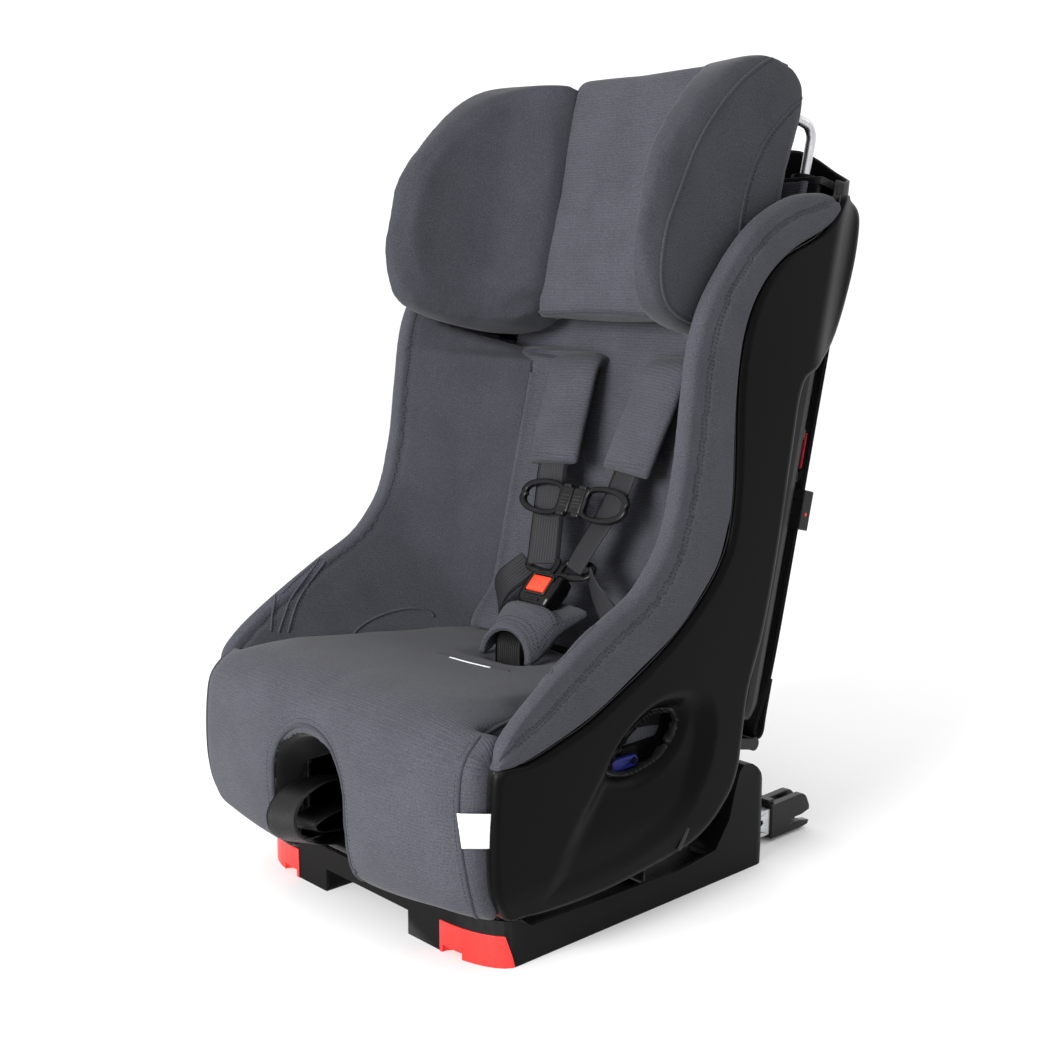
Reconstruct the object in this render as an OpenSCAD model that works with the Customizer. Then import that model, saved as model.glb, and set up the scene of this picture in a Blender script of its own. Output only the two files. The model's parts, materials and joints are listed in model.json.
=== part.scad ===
// Convertible car seat: a padded bucket shell on a low base, with a five-point harness,
// a height-adjustable headrest, sliding rigid anchor latches and a top tether.
// X points to the seat's left-hand side as seen by a viewer facing it, Y to the rear, Z up.
// The origin is the middle of the base's footprint, on the surface that the base stands on.

/* [Shell] */
// Overall width across the two side shells
shell_w = 432; // [420:1:444]
// Thickness of a side shell
side_t = 16; // [10:1:18]
// Recline of the back from vertical, degrees
recline = 13.5; // [12:0.5:15]
// Radius of the convex belly that the shell reclines on
belly_r = 582; // [576:1:588]
// Thickness of thin moulded walls
wall = 4; // [3:0.5:4.5]

/* [Base] */
// Width of the base
base_w = 360; // [340:2:362]
// Depth of the base
base_d = 368; // [364:1:372]
// Height of the base's front corners
base_front_h = 45; // [40:1:46]
// Height of the base's rear up-stand
base_rear_h = 112; // [100:1:120]
// How far the rear up-stand leans out beyond the foot of the base
base_flare = 11; // [6:1:12]
// Half-width of the opening between the front legs
leg_gap = 64; // [50:1:70]

/* [Latches] */
// Distance from the middle plane to the centre of each latch, for anchor bars 280 apart
latch_x = 140; // [136:1:142]
// Radius of the seat for a 6 mm anchor bar
anchor_r = 3.1; // [3.05:0.05:3.2]

/* [Headrest] */
// Distance from the middle plane to each headrest post
post_x = 150; // [140:1:155]
// Radius of a headrest post
post_r = 5; // [4:0.5:6]
// Half-width of the headrest over its wings
head_hw = 186; // [180:1:186]

/* [Harness] */
// Width of the harness webbing
web_w = 38; // [36:1:40]
// Thickness of the harness webbing
web_t = 2; // [1.5:0.5:2.5]
// Distance from the middle plane to each shoulder slot
slot_x = 68; // [60:1:70]

/* [Hidden] */
$fn = 48;
gap = 0.3;
shell_hw = shell_w / 2;
side_in = shell_hw - side_t;
base_hw = base_w / 2;
base_hd = base_d / 2;
// Centre of the belly's arc, which is also the recline axis
arc_y = -88;
arc_z = 53 + belly_r;
// Point that the reclined frame of the back turns about
back_y = 112;
back_z = 150;
// Faces of the layers of the back, measured along Y in the reclined frame
pad_front = -16;
pad_back = 1;
panel_front = 1.3;
panel_back = 6;
post_y = 20;
cover_front = 36;
cover_back = 40;
slot_z = 361;
shelf_z = 548;
post_fit = 0.06;
// Inner face of each bolster beside the headrest
bolster_in = 188.2;
hook_y = 256;
hook_z = 31;
anchor_y = 272;
anchor_z = 15;
// Tether: its plane, the lever's pin and the gate's pin, the last two as [y, z] in the reclined frame
strap_x = 172;
lever_pin = [65.6, 230];
gate_pin = [66, 308];
// Front arch, recline handle and belt-lock pivots
arch_r = 52;
arch_z = 133;
handle_z = 66;
lock_y = -26;
lock_z = 162;

// Catmull-Rom curve through points p, with n steps between neighbours
function spline(p, n = 4) = [
    for (i = [0 : len(p) - 2])
        let (a = p[max(i - 1, 0)], b = p[i], c = p[i + 1], d = p[min(i + 2, len(p) - 1)])
            for (k = [0 : n - 1])
                let (t = k / n)
                    0.5 * (2 * b + (c - a) * t + (2 * a - 5 * b + 4 * c - d) * t * t
                        + (3 * b - a - 3 * c + d) * t * t * t),
    p[len(p) - 1]
];
// Points on an ellipse about c from angle a0 to a1
function arc(c, rx, ry, a0, a1, n = 8) = [
    for (k = [0 : n]) let (a = a0 + (a1 - a0) * k / n) c + [rx * cos(a), ry * sin(a)]
];
// Line p moved sideways by d, to the left of its direction
function beside(p, d) = [
    for (i = [0 : len(p) - 1])
        let (u = p[min(i + 1, len(p) - 1)] - p[max(i - 1, 0)], l = norm(u))
            p[i] + d / l * [-u[1], u[0]]
];
function reversed(p) = [for (i = [len(p) - 1 : -1 : 0]) p[i]];
// Closed band of thickness t to the left of line p
function band(p, t) = concat(p, reversed(beside(p, t)));

// Side outline of the shell, as [y, z]
shell_front = [[-210, 98], [-212, 150], [-207, 200]];
shell_edge = spline([
    [-207, 200], [-170, 198], [-87, 223], [5, 271], [70, 330], [89, 390], [91, 500],
    [108, 564], [146, 607], [207, 633], [236, 659], [240, 672]
], 3);
shell_rear = spline([
    [262, 671], [289, 662], [295, 640], [284, 590], [255, 527], [222, 507], [192, 492],
    [177, 429], [160, 339], [140, 258], [119, 202], [108, 150], [104, 128]
], 3);
belly_arc = [
    for (y = [60 : -30 : -150]) [y, arc_z - sqrt(belly_r * belly_r - (y - arc_y) * (y - arc_y))]
];
belly_line = concat([[104, 128], [92, 104]], belly_arc, [[-181, 62], [-203, 74], [-210, 98]]);
side_outline = concat(shell_front, shell_edge, shell_rear, belly_line);
// Line of the padded rim along the front of each bolster, as [y, z]
rim_line = spline([
    [-203, 206], [-190, 218], [-169, 237], [-130, 264], [-84, 293], [-40, 321], [-10, 353],
    [3, 380], [15, 428], [22, 484], [33, 545], [62, 593], [108, 638], [160, 664], [226, 671]
], 2);
// Side outline of a headrest wing in the reclined frame, as [y, z]
wing_outline = spline([
    [-40, 384], [-104, 378], [-163, 377], [-206, 389], [-232, 425], [-235, 462], [-224, 507],
    [-187, 573], [-144, 616], [-97, 638], [-62, 637], [-42, 615], [-40, 560]
], 3);

module reclined() {
    translate([0, back_y, back_z]) rotate([-recline, 0, 0]) children();
}
// A [y, z] outline made into a slab from x0 to x1
module slab(x0, x1) {
    translate([x0, 0, 0]) rotate([90, 0, 90]) linear_extrude(x1 - x0) children();
}
// A box between two opposite corners
module block(a, b) {
    translate(a) cube(b - a);
}
// A round bar along X between x0 and x1
module rod_x(x0, x1, y, z, r) {
    translate([x0, y, z]) rotate([0, 90, 0]) cylinder(h = x1 - x0, r = r);
}
module each_side() {
    children();
    mirror([1, 0, 0]) children();
}
// Flat webbing through points p, each [x, y, z], with its width along X
module webbing(p, w, t) {
    for (i = [0 : len(p) - 2])
        hull() {
            translate(p[i]) cube([w, t, t], center = true);
            translate(p[i + 1]) cube([w, t, t], center = true);
        }
}

// Plan of the base over its leaning rear, drawn d inside its outer edge
module base_plan(d = 0) {
    hw = base_hw - d;
    front = -base_hd + d;
    rear = base_hd + base_flare - d;
    fx = 70 - d;
    fy = 30 - d;
    r = 18 - d;
    polygon(concat(
        arc([-hw + fx, front + fy], fx, fy, 180, 270),
        arc([hw - fx, front + fy], fx, fy, 270, 360),
        arc([hw - r, rear - r], r, r, 0, 90),
        arc([-hw + r, rear - r], r, r, 90, 180)
    ));
}
// Side profile of a corner foot, whose rear end slants, made d larger
module foot_profile(d = 0) {
    polygon([
        [-base_hd - 5, -d], [-157 + d, -d], [-165 + d, 29.5 + d], [-base_hd - 5, 29.5 + d]
    ]);
}
module latch_window() {
    block([latch_x - 15, base_hd - 8, 3], [latch_x + 15, base_hd + base_flare + 2, 46.5]);
    block([latch_x - 13, 98, 20], [latch_x + 13, 142, 39.5]);
}
module base_tray() color([0.13, 0.13, 0.14]) difference() {
    intersection() {
        linear_extrude(base_rear_h + 5) base_plan();
        slab(-base_hw - 1, base_hw + 1) polygon(concat(
            [[-base_hd, 0], [-base_hd, base_front_h], [-150, base_front_h - 3], [-138, 33]],
            [[60, 28], [112, 34]],
            spline([[132, 60], [147, base_rear_h - 6], [160, base_rear_h],
                [175, base_rear_h - 7], [188, base_rear_h - 24], [base_hd + base_flare, base_rear_h - 46]], 2),
            [[base_hd, 0]]
        ));
    }
    intersection() {
        translate([0, 0, 3]) linear_extrude(base_rear_h + 5) base_plan(wall);
        slab(-base_hw, base_hw) polygon(concat(
            [[-base_hd, 3], [-base_hd, 140], [104, 140], [104, 28], [112, 30]],
            spline([[136, 58], [151, base_rear_h - 11], [160, base_rear_h - 4.5],
                [172.5, base_rear_h - 11], [184.5, base_rear_h - 27],
                [base_hd + base_flare - 4, base_rear_h - 48]], 2),
            [[base_hd - 3.5, 3]]
        ));
    }
    block([-leg_gap, -base_hd - 1, -1], [leg_gap, -120, 23]);
    each_side() intersection() {
        difference() {
            translate([0, 0, -2]) linear_extrude(60) base_plan(-3);
            translate([0, 0, -3]) linear_extrude(62) base_plan(9);
        }
        slab(110, base_hw + 5) foot_profile(0.3);
    }
    each_side() latch_window();
    each_side() for (y = [-100, 90]) translate([165, y, -1]) cylinder(h = 6, r = 2.6);
}
module corner_foot() color([0.85, 0.25, 0.2]) intersection() {
    difference() {
        linear_extrude(30) base_plan(-1);
        translate([0, 0, -1]) linear_extrude(60) base_plan(8.7);
        translate([126, -base_hd, -1]) cylinder(h = 8, r = 12);
    }
    slab(110.3, base_hw + 5) foot_profile();
}
module corner_foot_right() corner_foot();
module corner_foot_left() mirror([1, 0, 0]) corner_foot();
module recline_rails() color([0.3, 0.3, 0.32]) each_side() difference() {
    block([103, -118, 3], [117, 0, 70]);
    rod_x(100, 120, arc_y, arc_z, belly_r + 1.4, $fn = 200);
}
module base_screws() color([0.6, 0.6, 0.62]) each_side() for (y = [-100, 90])
    translate([165, y, 0.4]) {
        cylinder(h = 8, r = 2.55);
        translate([0, 0, 2.6]) cylinder(h = 2.4, r = 4.5);
    }

module latch_arms() color([0.75, 0.76, 0.78]) union() {
    each_side() difference() {
        block([latch_x - 11, 40, 9], [latch_x + 11, 236, 37]);
        block([latch_x - 9, 39, 11], [latch_x + 9, 237, 35]);
        for (y = [206, 222]) rod_x(latch_x + 8, latch_x + 12, y, 24, 3.2);
    }
    block([-latch_x + 9, 62, 14], [latch_x - 9, 78, 32]);
}
module latch_jaw() color([0.05, 0.05, 0.05]) difference() {
    union() {
        slab(latch_x - 13.5, latch_x + 13.5) polygon(concat(
            [[236.2, 4], [236.2, 41]],
            arc([286, 29], 13, 13, 90, 20, 5),
            [[302, 26], [302, 21], [288, anchor_z + anchor_r], [anchor_y, anchor_z + anchor_r]],
            arc([anchor_y, anchor_z], anchor_r, anchor_r, 90, 270, 2),
            [[288, anchor_z - anchor_r], [302, 9], [300, 5], [290, 3.6], [240, 3.6]]
        ));
    }
    rod_x(latch_x - 20, latch_x + 20, anchor_y, anchor_z, anchor_r, $fn = 64);
    difference() {
        block([latch_x - 4.3, 247, 6.5], [latch_x + 4.3, 303, 43]);
        rod_x(latch_x - 5, latch_x + 5, hook_y, hook_z, 2.5);
    }
}
module latch_jaw_right() latch_jaw();
module latch_jaw_left() mirror([1, 0, 0]) latch_jaw();
module latch_hook() color([0.8, 0.8, 0.82]) difference() {
    slab(latch_x - 3.8, latch_x + 3.8) polygon([
        [249, 26], [249, 35], [255, 37.5], [270, 36.5], [282, 31], [286, 22], [285, 12], [278, 8.5],
        [278, 19.5], [274, 23], [262, 24.5]
    ]);
    rod_x(latch_x - 5, latch_x + 5, hook_y, hook_z, 2.56);
}
module latch_hook_right() latch_hook();
module latch_hook_left() mirror([1, 0, 0]) latch_hook();
module latch_release() color([0.05, 0.05, 0.05])
    block([latch_x - 8, 237.5, 41.8], [latch_x + 8, 246.5, 45]);
module latch_release_right() latch_release();
module latch_release_left() mirror([1, 0, 0]) latch_release();

// Outline of the belt-path recess and of the opening in it, as [y, z]
recess_line = spline([
    [46, 121], [66, 165], [69, 204], [43, 221], [-12, 217], [-64, 192], [-101, 157], [-131, 124],
    [-60, 108], [0, 100], [46, 121]
], 3);
opening_line = spline([
    [38, 150], [44, 178], [30, 197], [-8, 200], [-48, 184], [-70, 160], [-30, 142], [10, 136],
    [38, 150]
], 3);
module side_shell() color([0.06, 0.06, 0.065]) difference() {
    slab(side_in, shell_hw) polygon(side_outline);
    slab(side_in + 6, shell_hw + 1) polygon(recess_line);
    slab(side_in - 1, shell_hw + 1) polygon(opening_line);
}
module side_shell_right() side_shell();
module side_shell_left() mirror([1, 0, 0]) side_shell();
module belt_guide() color([0.05, 0.05, 0.05]) difference() {
    slab(side_in + 6.2, side_in + 10) polygon(beside(opening_line, -7));
    slab(side_in, side_in + 20) polygon(beside(opening_line, -1));
}
module belt_guide_right() belt_guide();
module belt_guide_left() mirror([1, 0, 0]) belt_guide();
module belt_lock() color([0.1, 0.2, 0.7]) difference() {
    union() {
        block([side_in - 9, lock_y - 30, lock_z - 5.5], [side_in - 4, lock_y, lock_z + 5.5]);
        rod_x(side_in - 9, side_in - 4, lock_y, lock_z, 5.5);
    }
    rod_x(side_in - 20, side_in + 2, lock_y, lock_z, 3.06);
}
module belt_lock_right() belt_lock();
module belt_lock_left() mirror([1, 0, 0]) belt_lock();

// Pin on the seat pan's side wall that each belt lock turns on
module lock_pins() each_side() {
    rod_x(side_in - 14, side_in - 3, lock_y, lock_z, 3);
    block([side_in - 14, lock_y - 10, 126], [side_in - 10, lock_y + 10, lock_z + 10]);
}
module shell_back() color([0.07, 0.07, 0.075]) reclined() difference() {
    union() {
        translate([0, cover_back, 0]) rotate([90, 0, 0]) linear_extrude(wall) polygon(concat(
            [[-190, 20], [190, 20], [190, 545]],
            arc([0, 545], 190, 55, 10, 170, 12),
            [[-190, 545]]
        ));
        each_side() block([186, 8, 20], [190, cover_front + 1, 540]);
    }
    each_side() block([slot_x - 28, 30, slot_z - 20], [slot_x + 28, 50, slot_z + 20]);
}
module top_shelf() color([0.05, 0.05, 0.05]) reclined() difference() {
    block([-185.5, panel_front, shelf_z], [185.5, cover_front - gap, shelf_z + 8]);
    each_side() translate([post_x, post_y, shelf_z - 1]) cylinder(h = 12, r = post_r + 3.3);
}
module post_tubes() color([0.2, 0.2, 0.21]) reclined() each_side() difference() {
    union() {
        translate([post_x, post_y, 300]) cylinder(h = shelf_z + 14 - 300, r = post_r + 3);
        translate([post_x, post_y, shelf_z + 8.2]) cylinder(h = 6, r = post_r + 8);
    }
    translate([post_x, post_y, 299]) cylinder(h = shelf_z + 20 - 299, r = post_r + post_fit);
}
module back_panel() color([0.2, 0.2, 0.2]) reclined() difference() {
    block([-183, panel_front, 30], [183, panel_back, shelf_z - gap]);
    each_side() block([slot_x - 28, -5, slot_z - 5], [slot_x + 28, 20, slot_z + 5]);
}
// The arch in the front for the harness adjuster, cut back to y
module arch_cut(y) {
    translate([0, -270, arch_z]) rotate([-90, 0, 0]) cylinder(h = y + 270, r = arch_r);
    block([-arch_r, -270, 30], [arch_r, y, arch_z]);
}
module seat_pan() color([0.18, 0.18, 0.18]) union() {
    difference() {
        block([-side_in + gap, -208, 143], [side_in - gap, 100, 147]);
        block([-25, -10, 140], [25, 4, 150]);
        block([-52.5, -270, 130], [52.5, -150, 150]);
    }
    lock_pins();
    each_side() block([side_in - 19.8, -84, 146], [side_in - 17.4, 58, 204.6]);
}
module belly_cover() color([0.06, 0.06, 0.065]) difference() {
    union() {
        slab(-side_in + gap, side_in - gap) polygon(band(concat(belly_line, [[-210, 142]]), -wall));
        each_side() block([21, -142, 56], [33, -128, 73]);
    }
    arch_cut(-150);
    each_side() block([23.8, -145, handle_z - 2.2], [30.2, -120, handle_z + 2.2]);
}

cushion_top = spline([
    [-236, 62], [-246, 100], [-252, 150], [-250, 200], [-236, 229], [-205, 241], [-150, 240],
    [-80, 232], [0, 219], [100, 206]
], 3);
module cushion_section() {
    polygon(concat([[-216, 46]], cushion_top, [[101, 147.3], [-212.5, 147.3], [-212.5, 46]]));
}
module seat_cushion() color([0.3, 0.3, 0.32]) difference() {
    union() {
        intersection() {
            slab(-206, 206) cushion_section();
            block([-206, -260, 40], [206, -212.5, 250]);
        }
        intersection() {
            slab(-179.5, 179.5) cushion_section();
            block([-206, -212.6, 40], [206, 120, 250]);
        }
    }
    arch_cut(-150);
    block([-24, -12, 140], [24, 6, 260]);
}
module back_pad() color([0.36, 0.36, 0.38]) reclined() difference() {
    block([-126, pad_front, 60], [126, pad_back, shelf_z - gap]);
    each_side() block([slot_x - 27, -30, slot_z - 4], [slot_x + 27, 20, slot_z + 4]);
}
// Padding inside the shell, its rolled rim over the shell's edge, and the wedge beside the back pad
module bolster() color([0.27, 0.27, 0.29]) union() {
    slab(bolster_in, side_in - gap) polygon(concat(
        [[-161, 205]], rim_line, [[233, 664], [226, 640], [118, 215], [118, 205]]
    ));
    slab(side_in - gap - 1, shell_hw - 1.5) polygon(concat(rim_line, reversed(beside(shell_edge, 0.5))));
    reclined() translate([0, 0, 95]) linear_extrude(270)
        polygon([[127, pad_front], [127, 0.8], [bolster_in + 0.1, 0.8], [bolster_in + 0.1, -118]]);
}
module bolster_right() bolster();
module bolster_left() mirror([1, 0, 0]) bolster();

// Right-hand harness strap in the reclined frame: slot, over the shoulder, down to the buckle
shoulder_path = [[slot_x, 14, slot_z], [slot_x, -22, slot_z], [slot_x - 4, -40, 340],
    [53, -58, 244], [44, -63, 202], [27, -75, 150], [22.5, -78.5, 134.5]];
pad_top = shoulder_path[2];
pad_run = shoulder_path[3] - pad_top;
module harness_strap() color([0.09, 0.09, 0.1]) reclined() webbing(shoulder_path, web_w, web_t);
module harness_strap_right() harness_strap();
module harness_strap_left() mirror([1, 0, 0]) harness_strap();
module lap_strap() color([0.09, 0.09, 0.1]) reclined() for (i = [0 : 1]) {
    p = [[48, -76, 133], [84, -78, 98], [122, -52, 66]];
    hull() {
        translate(p[i]) cube([web_t, web_t, 28], center = true);
        translate(p[i + 1]) cube([web_t, web_t, 28], center = true);
    }
}
module lap_strap_right() lap_strap();
module lap_strap_left() mirror([1, 0, 0]) lap_strap();
module shoulder_pad() color([0.36, 0.36, 0.38]) reclined() difference() {
    hull() for (t = [0.08, 0.97])
        translate(pad_top + t * pad_run) cube([54, 18, 10], center = true);
    hull() for (t = [-0.1, 1.1])
        translate(pad_top + t * pad_run) cube([web_w + 1, web_t + 0.8, 2], center = true);
}
module shoulder_pad_right() shoulder_pad();
module shoulder_pad_left() mirror([1, 0, 0]) shoulder_pad();

// Crotch strap from the seat pan's slot up to the buckle, as [y, z]
crotch_line = [[-2, 132], [-2, 228], [5, 243], [18, 254], [30, 260]];
module crotch_strap() color([0.09, 0.09, 0.1]) union() {
    slab(-web_w / 2, web_w / 2) polygon(band(crotch_line, -web_t));
    block([-24, -10, 130], [24, 5, 132]);
}
module crotch_pad() color([0.36, 0.36, 0.38]) difference() {
    slab(-30, 30) polygon([
        [-12, 223], [-13, 238], [-2, 254], [14, 270], [24, 268], [27, 250], [18, 246], [8, 236],
        [6, 223]
    ]);
    slab(-web_w / 2 - 0.4, web_w / 2 + 0.4) polygon(band(beside(crotch_line, 0.4), -web_t - 0.8));
}
// The buckle's own frame: Z along it towards the tongues, its button facing -Y
module at_buckle() reclined() translate([0, -91, 109]) rotate([-31.5, 0, 0]) children();
module buckle_body() color([0.04, 0.04, 0.04]) at_buckle() difference() {
    block([-25, -11, -24], [25, 11, 18]);
    block([-11.2, -12, -15], [11.2, -5, 9]);
    block([-21, -3.2, 6], [21, 3.2, 19]);
    block([-20, -3, -25], [20, 3, -17]);
}
module buckle_button() color([0.95, 0.3, 0.1]) at_buckle()
    block([-10.8, -12.5, -14.6], [10.8, -8.2, 8.6]);
module buckle_tongues() color([0.05, 0.05, 0.05]) at_buckle() each_side() union() {
    block([1, -1.6, 8], [19, 1.6, 21]);
    difference() {
        block([0.5, -2.5, 21], [46, 2.5, 39]);
        block([3, -3, 25], [42.5, 3, 34.5]);
    }
}
// The clip's own frame: its back face lies on the straps, in front of them
module clip_half() reclined() translate([0, -68, 203]) rotate([-11, 0, 0]) difference() {
    block([gap, -8, -18], [76, 0, 18]);
    block([18, -9, -13], [70, 1, 13]);
}
module chest_clip_right() color([0.06, 0.06, 0.06]) clip_half();
module chest_clip_left() color([0.06, 0.06, 0.06]) mirror([1, 0, 0]) clip_half();

module adjuster_housing() color([0.08, 0.08, 0.08]) difference() {
    union() {
        block([-30, -178, 100], [30, -152.5, 128]);
        block([-30, -152.6, 120], [30, -140, 142.7]);
    }
    block([-24, -190, 104], [24, -156, 124]);
    block([-24, -160, 108], [24, -150, 112]);
    rod_x(-31, 31, -166, 118, 2);
}
module adjuster_lever() color([0.7, 0.7, 0.72]) union() {
    rod_x(-29.5, 29.5, -166, 118, 1.94);
    block([-22, -176, 116], [22, -164, 120]);
}
// Loose end of the harness adjuster strap: a folded loop in the front arch, as [y, z]
tail_line = [[-158, 109], [-185, 110], [-232, 116], [-258, 113], [-267, 102], [-262, 88],
    [-244, 79], [-212, 78], [-192, 82]];
module adjuster_strap() color([0.05, 0.05, 0.05]) slab(-20, 20) polygon(band(tail_line, -web_t));
module splitter_plate() color([0.7, 0.7, 0.72]) difference() {
    block([-32, 60, 118], [32, 62.5, 142]);
    for (x = [-29, 3]) block([x, 59, 130], [x + 26, 64, 136]);
    block([-20, 59, 121], [20, 64, 126]);
}
module recline_handle() color([0.1, 0.1, 0.1]) union() {
    rod_x(-34, 34, -200, handle_z, 5);
    each_side() block([24, -200, handle_z - 2], [30, -118, handle_z + 2]);
}

// Tether strap down the back of the shell in the reclined frame, as [y, z]
tether_line = [[41, 480], [53, 474], [54.5, 420], [53, 330], [54, 180], [53, 90], [47, 30], [43, 6]];
module tether_strap() color([0.05, 0.05, 0.05]) reclined()
    slab(strap_x - 15, strap_x + 15) polygon(band(tether_line, 2));
module tether_bar() color([0.15, 0.15, 0.16]) reclined() union() {
    rod_x(-188, 188, 49, -4, 7);
    each_side() block([182, 8, -10], [188, 49, 1]);
}
module tether_adjuster() color([0.06, 0.06, 0.06]) reclined() difference() {
    block([strap_x - 18, 56.6, 214], [strap_x + 18, 71.6, 254]);
    block([strap_x - 13, 61.6, 222], [strap_x + 13, 72.6, 255]);
    rod_x(strap_x - 19, strap_x + 19, lever_pin[0], lever_pin[1], 2);
}
module tether_lever() color([0.9, 0.1, 0.15]) reclined() union() {
    rod_x(strap_x - 17.5, strap_x + 17.5, lever_pin[0], lever_pin[1], 1.94);
    block([strap_x - 12.5, 63.6, 228], [strap_x + 12.5, 69.6, 252]);
}
module tether_hook() color([0.75, 0.75, 0.77]) reclined() difference() {
    translate([0, gate_pin[0], gate_pin[1]]) slab(strap_x - 4, strap_x + 4) polygon([
        [-8.5, 7], [2.5, 7], [4.5, -7], [4.5, -37], [0.5, -47], [-7.5, -47], [-10, -41], [-10, -35],
        [-5.5, -37], [-2.5, -33], [-2.5, -9], [-7.5, -3]
    ]);
    rod_x(strap_x - 5, strap_x + 5, gate_pin[0], gate_pin[1], 1.5);
}
module tether_gate() color([0.9, 0.1, 0.15]) reclined() union() {
    rod_x(strap_x - 6, strap_x + 6, gate_pin[0], gate_pin[1], 1.44);
    each_side_of_strap() block([4.4, 58.5, 275], [7, 69, 311]);
}
module each_side_of_strap() translate([strap_x, 0, 0]) each_side() children();
module cover_tag() color([0.95, 0.95, 0.95])
    block([206.2, -232, 134], [207, -214, 166]);

module headrest_frame() color([0.12, 0.12, 0.12]) reclined() difference() {
    block([-160, -38.5, 404], [160, -26, 628]);
    each_side() translate([post_x, -20, 612]) rotate([90, 0, 0]) cylinder(h = 16, r = post_r + 0.06);
    block([-20, -27.5, 588], [20, -25, 622]);
}
module headrest_pad() color([0.36, 0.36, 0.38]) reclined() slab(-93.8, 93.8) polygon(concat(
    spline([[-39, 397], [-66, 394], [-80, 404], [-84, 500], [-82, 612], [-76, 646], [-58, 656]], 3),
    [[-39, 651]]
));
module headrest_wing() color([0.28, 0.28, 0.3]) reclined() intersection() {
    slab(90, head_hw + 1) polygon(concat([[-39, 384]], wing_outline, [[-39, 560]]));
    translate([0, 0, 370]) linear_extrude(290) polygon(concat(
        [[94.2, -39], [94.2, -82]],
        spline([[100, -92], [132, -130], [153, -180], [162, -214], [171, -236], [181, -228],
            [head_hw, -195], [head_hw, -60], [178, -39]], 3)
    ));
}
module headrest_wing_right() headrest_wing();
module headrest_wing_left() mirror([1, 0, 0]) headrest_wing();
module headrest_bar() color([0.78, 0.78, 0.8]) reclined() each_side() union() {
    translate([post_x, post_y, 330]) cylinder(h = 282, r = post_r);
    translate([post_x, post_y, 612]) sphere(r = post_r);
    translate([post_x, post_y, 612]) rotate([90, 0, 0]) cylinder(h = post_y + 34, r = post_r);
}
module headrest_release() color([0.1, 0.1, 0.1]) reclined()
    block([-18, -27.2, 590], [18, -20, 612]);

base_tray();
corner_foot_left();
corner_foot_right();
recline_rails();
base_screws();
latch_arms();
latch_jaw_left();
latch_jaw_right();
latch_hook_left();
latch_hook_right();
latch_release_left();
latch_release_right();
side_shell_left();
side_shell_right();
belt_guide_left();
belt_guide_right();
belt_lock_left();
belt_lock_right();
shell_back();
top_shelf();
seat_pan();
belly_cover();
post_tubes();
back_panel();
seat_cushion();
back_pad();
bolster_left();
bolster_right();
harness_strap_left();
harness_strap_right();
lap_strap_left();
lap_strap_right();
shoulder_pad_left();
shoulder_pad_right();
crotch_strap();
crotch_pad();
buckle_body();
buckle_tongues();
buckle_button();
chest_clip_left();
chest_clip_right();
adjuster_housing();
adjuster_lever();
adjuster_strap();
splitter_plate();
recline_handle();
tether_strap();
tether_bar();
tether_adjuster();
tether_lever();
tether_hook();
tether_gate();
cover_tag();
headrest_frame();
headrest_pad();
headrest_wing_left();
headrest_wing_right();
headrest_bar();
headrest_release();
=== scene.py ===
"""Looks of the convertible car seat: soft goods, shell skins, webbing, hardware, camera and studio."""

import json
import math

import bmesh
import bpy
import numpy as np
from mathutils import Matrix, Vector
from mathutils.bvhtree import BVHTree

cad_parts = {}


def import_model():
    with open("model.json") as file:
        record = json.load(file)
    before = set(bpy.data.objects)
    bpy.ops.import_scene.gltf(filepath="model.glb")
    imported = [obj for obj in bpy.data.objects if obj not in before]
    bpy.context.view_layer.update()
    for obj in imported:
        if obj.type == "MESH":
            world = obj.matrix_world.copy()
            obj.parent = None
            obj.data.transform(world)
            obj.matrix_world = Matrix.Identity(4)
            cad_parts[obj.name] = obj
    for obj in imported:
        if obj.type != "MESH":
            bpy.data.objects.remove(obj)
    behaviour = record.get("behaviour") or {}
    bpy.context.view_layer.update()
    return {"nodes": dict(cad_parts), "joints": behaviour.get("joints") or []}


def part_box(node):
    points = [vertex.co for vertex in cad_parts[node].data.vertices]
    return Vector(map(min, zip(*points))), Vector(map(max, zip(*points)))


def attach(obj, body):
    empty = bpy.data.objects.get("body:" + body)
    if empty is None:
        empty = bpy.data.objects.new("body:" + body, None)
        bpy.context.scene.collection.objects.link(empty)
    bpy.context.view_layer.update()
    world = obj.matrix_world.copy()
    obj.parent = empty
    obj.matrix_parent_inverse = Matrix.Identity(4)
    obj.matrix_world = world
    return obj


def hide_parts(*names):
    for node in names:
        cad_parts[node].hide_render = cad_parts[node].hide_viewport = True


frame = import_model()

# ---------------------------------------------------------------- places, some taken from the frame and some given
MM = 0.001
JOINTS = {j["name"]: j for j in frame["joints"]}
UP = Vector(JOINTS["headrest_height"]["axis"]).normalized()  # up along the reclined back
BACK = Vector((0, UP.z, -UP.y))  # rearward, square to the back
BACK_PIVOT = Vector((0, 0.112, 0.150))  # origin of the reclined frame of the back
SIDE_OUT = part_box("side_shell_right")[1].x  # outer face of the right side shell
# the headrest's steel rods, in the reclined frame, in millimetres
POST_X, POST_Y, POST_TOP = 150.0, 20.0, 612.0
CUSHION_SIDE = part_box("seat_cushion")[1].x


def lean(x, y, z):
    """A point of the reclined frame, in millimetres, as a world point in metres."""
    return BACK_PIVOT + Vector((x * MM, 0, 0)) + BACK * (y * MM) + UP * (z * MM)


def leans(points):
    return np.array([lean(*p) for p in points])


def unlean(co):
    """World points (n x 3, metres) as reclined-frame points, in millimetres."""
    d = (np.asarray(co) - np.array(BACK_PIVOT)) / MM
    return np.stack([d[:, 0], d @ np.array(BACK), d @ np.array(UP)], 1)


def world(points):
    """World points in millimetres as an array in metres."""
    return np.array(points, float) * MM


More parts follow.
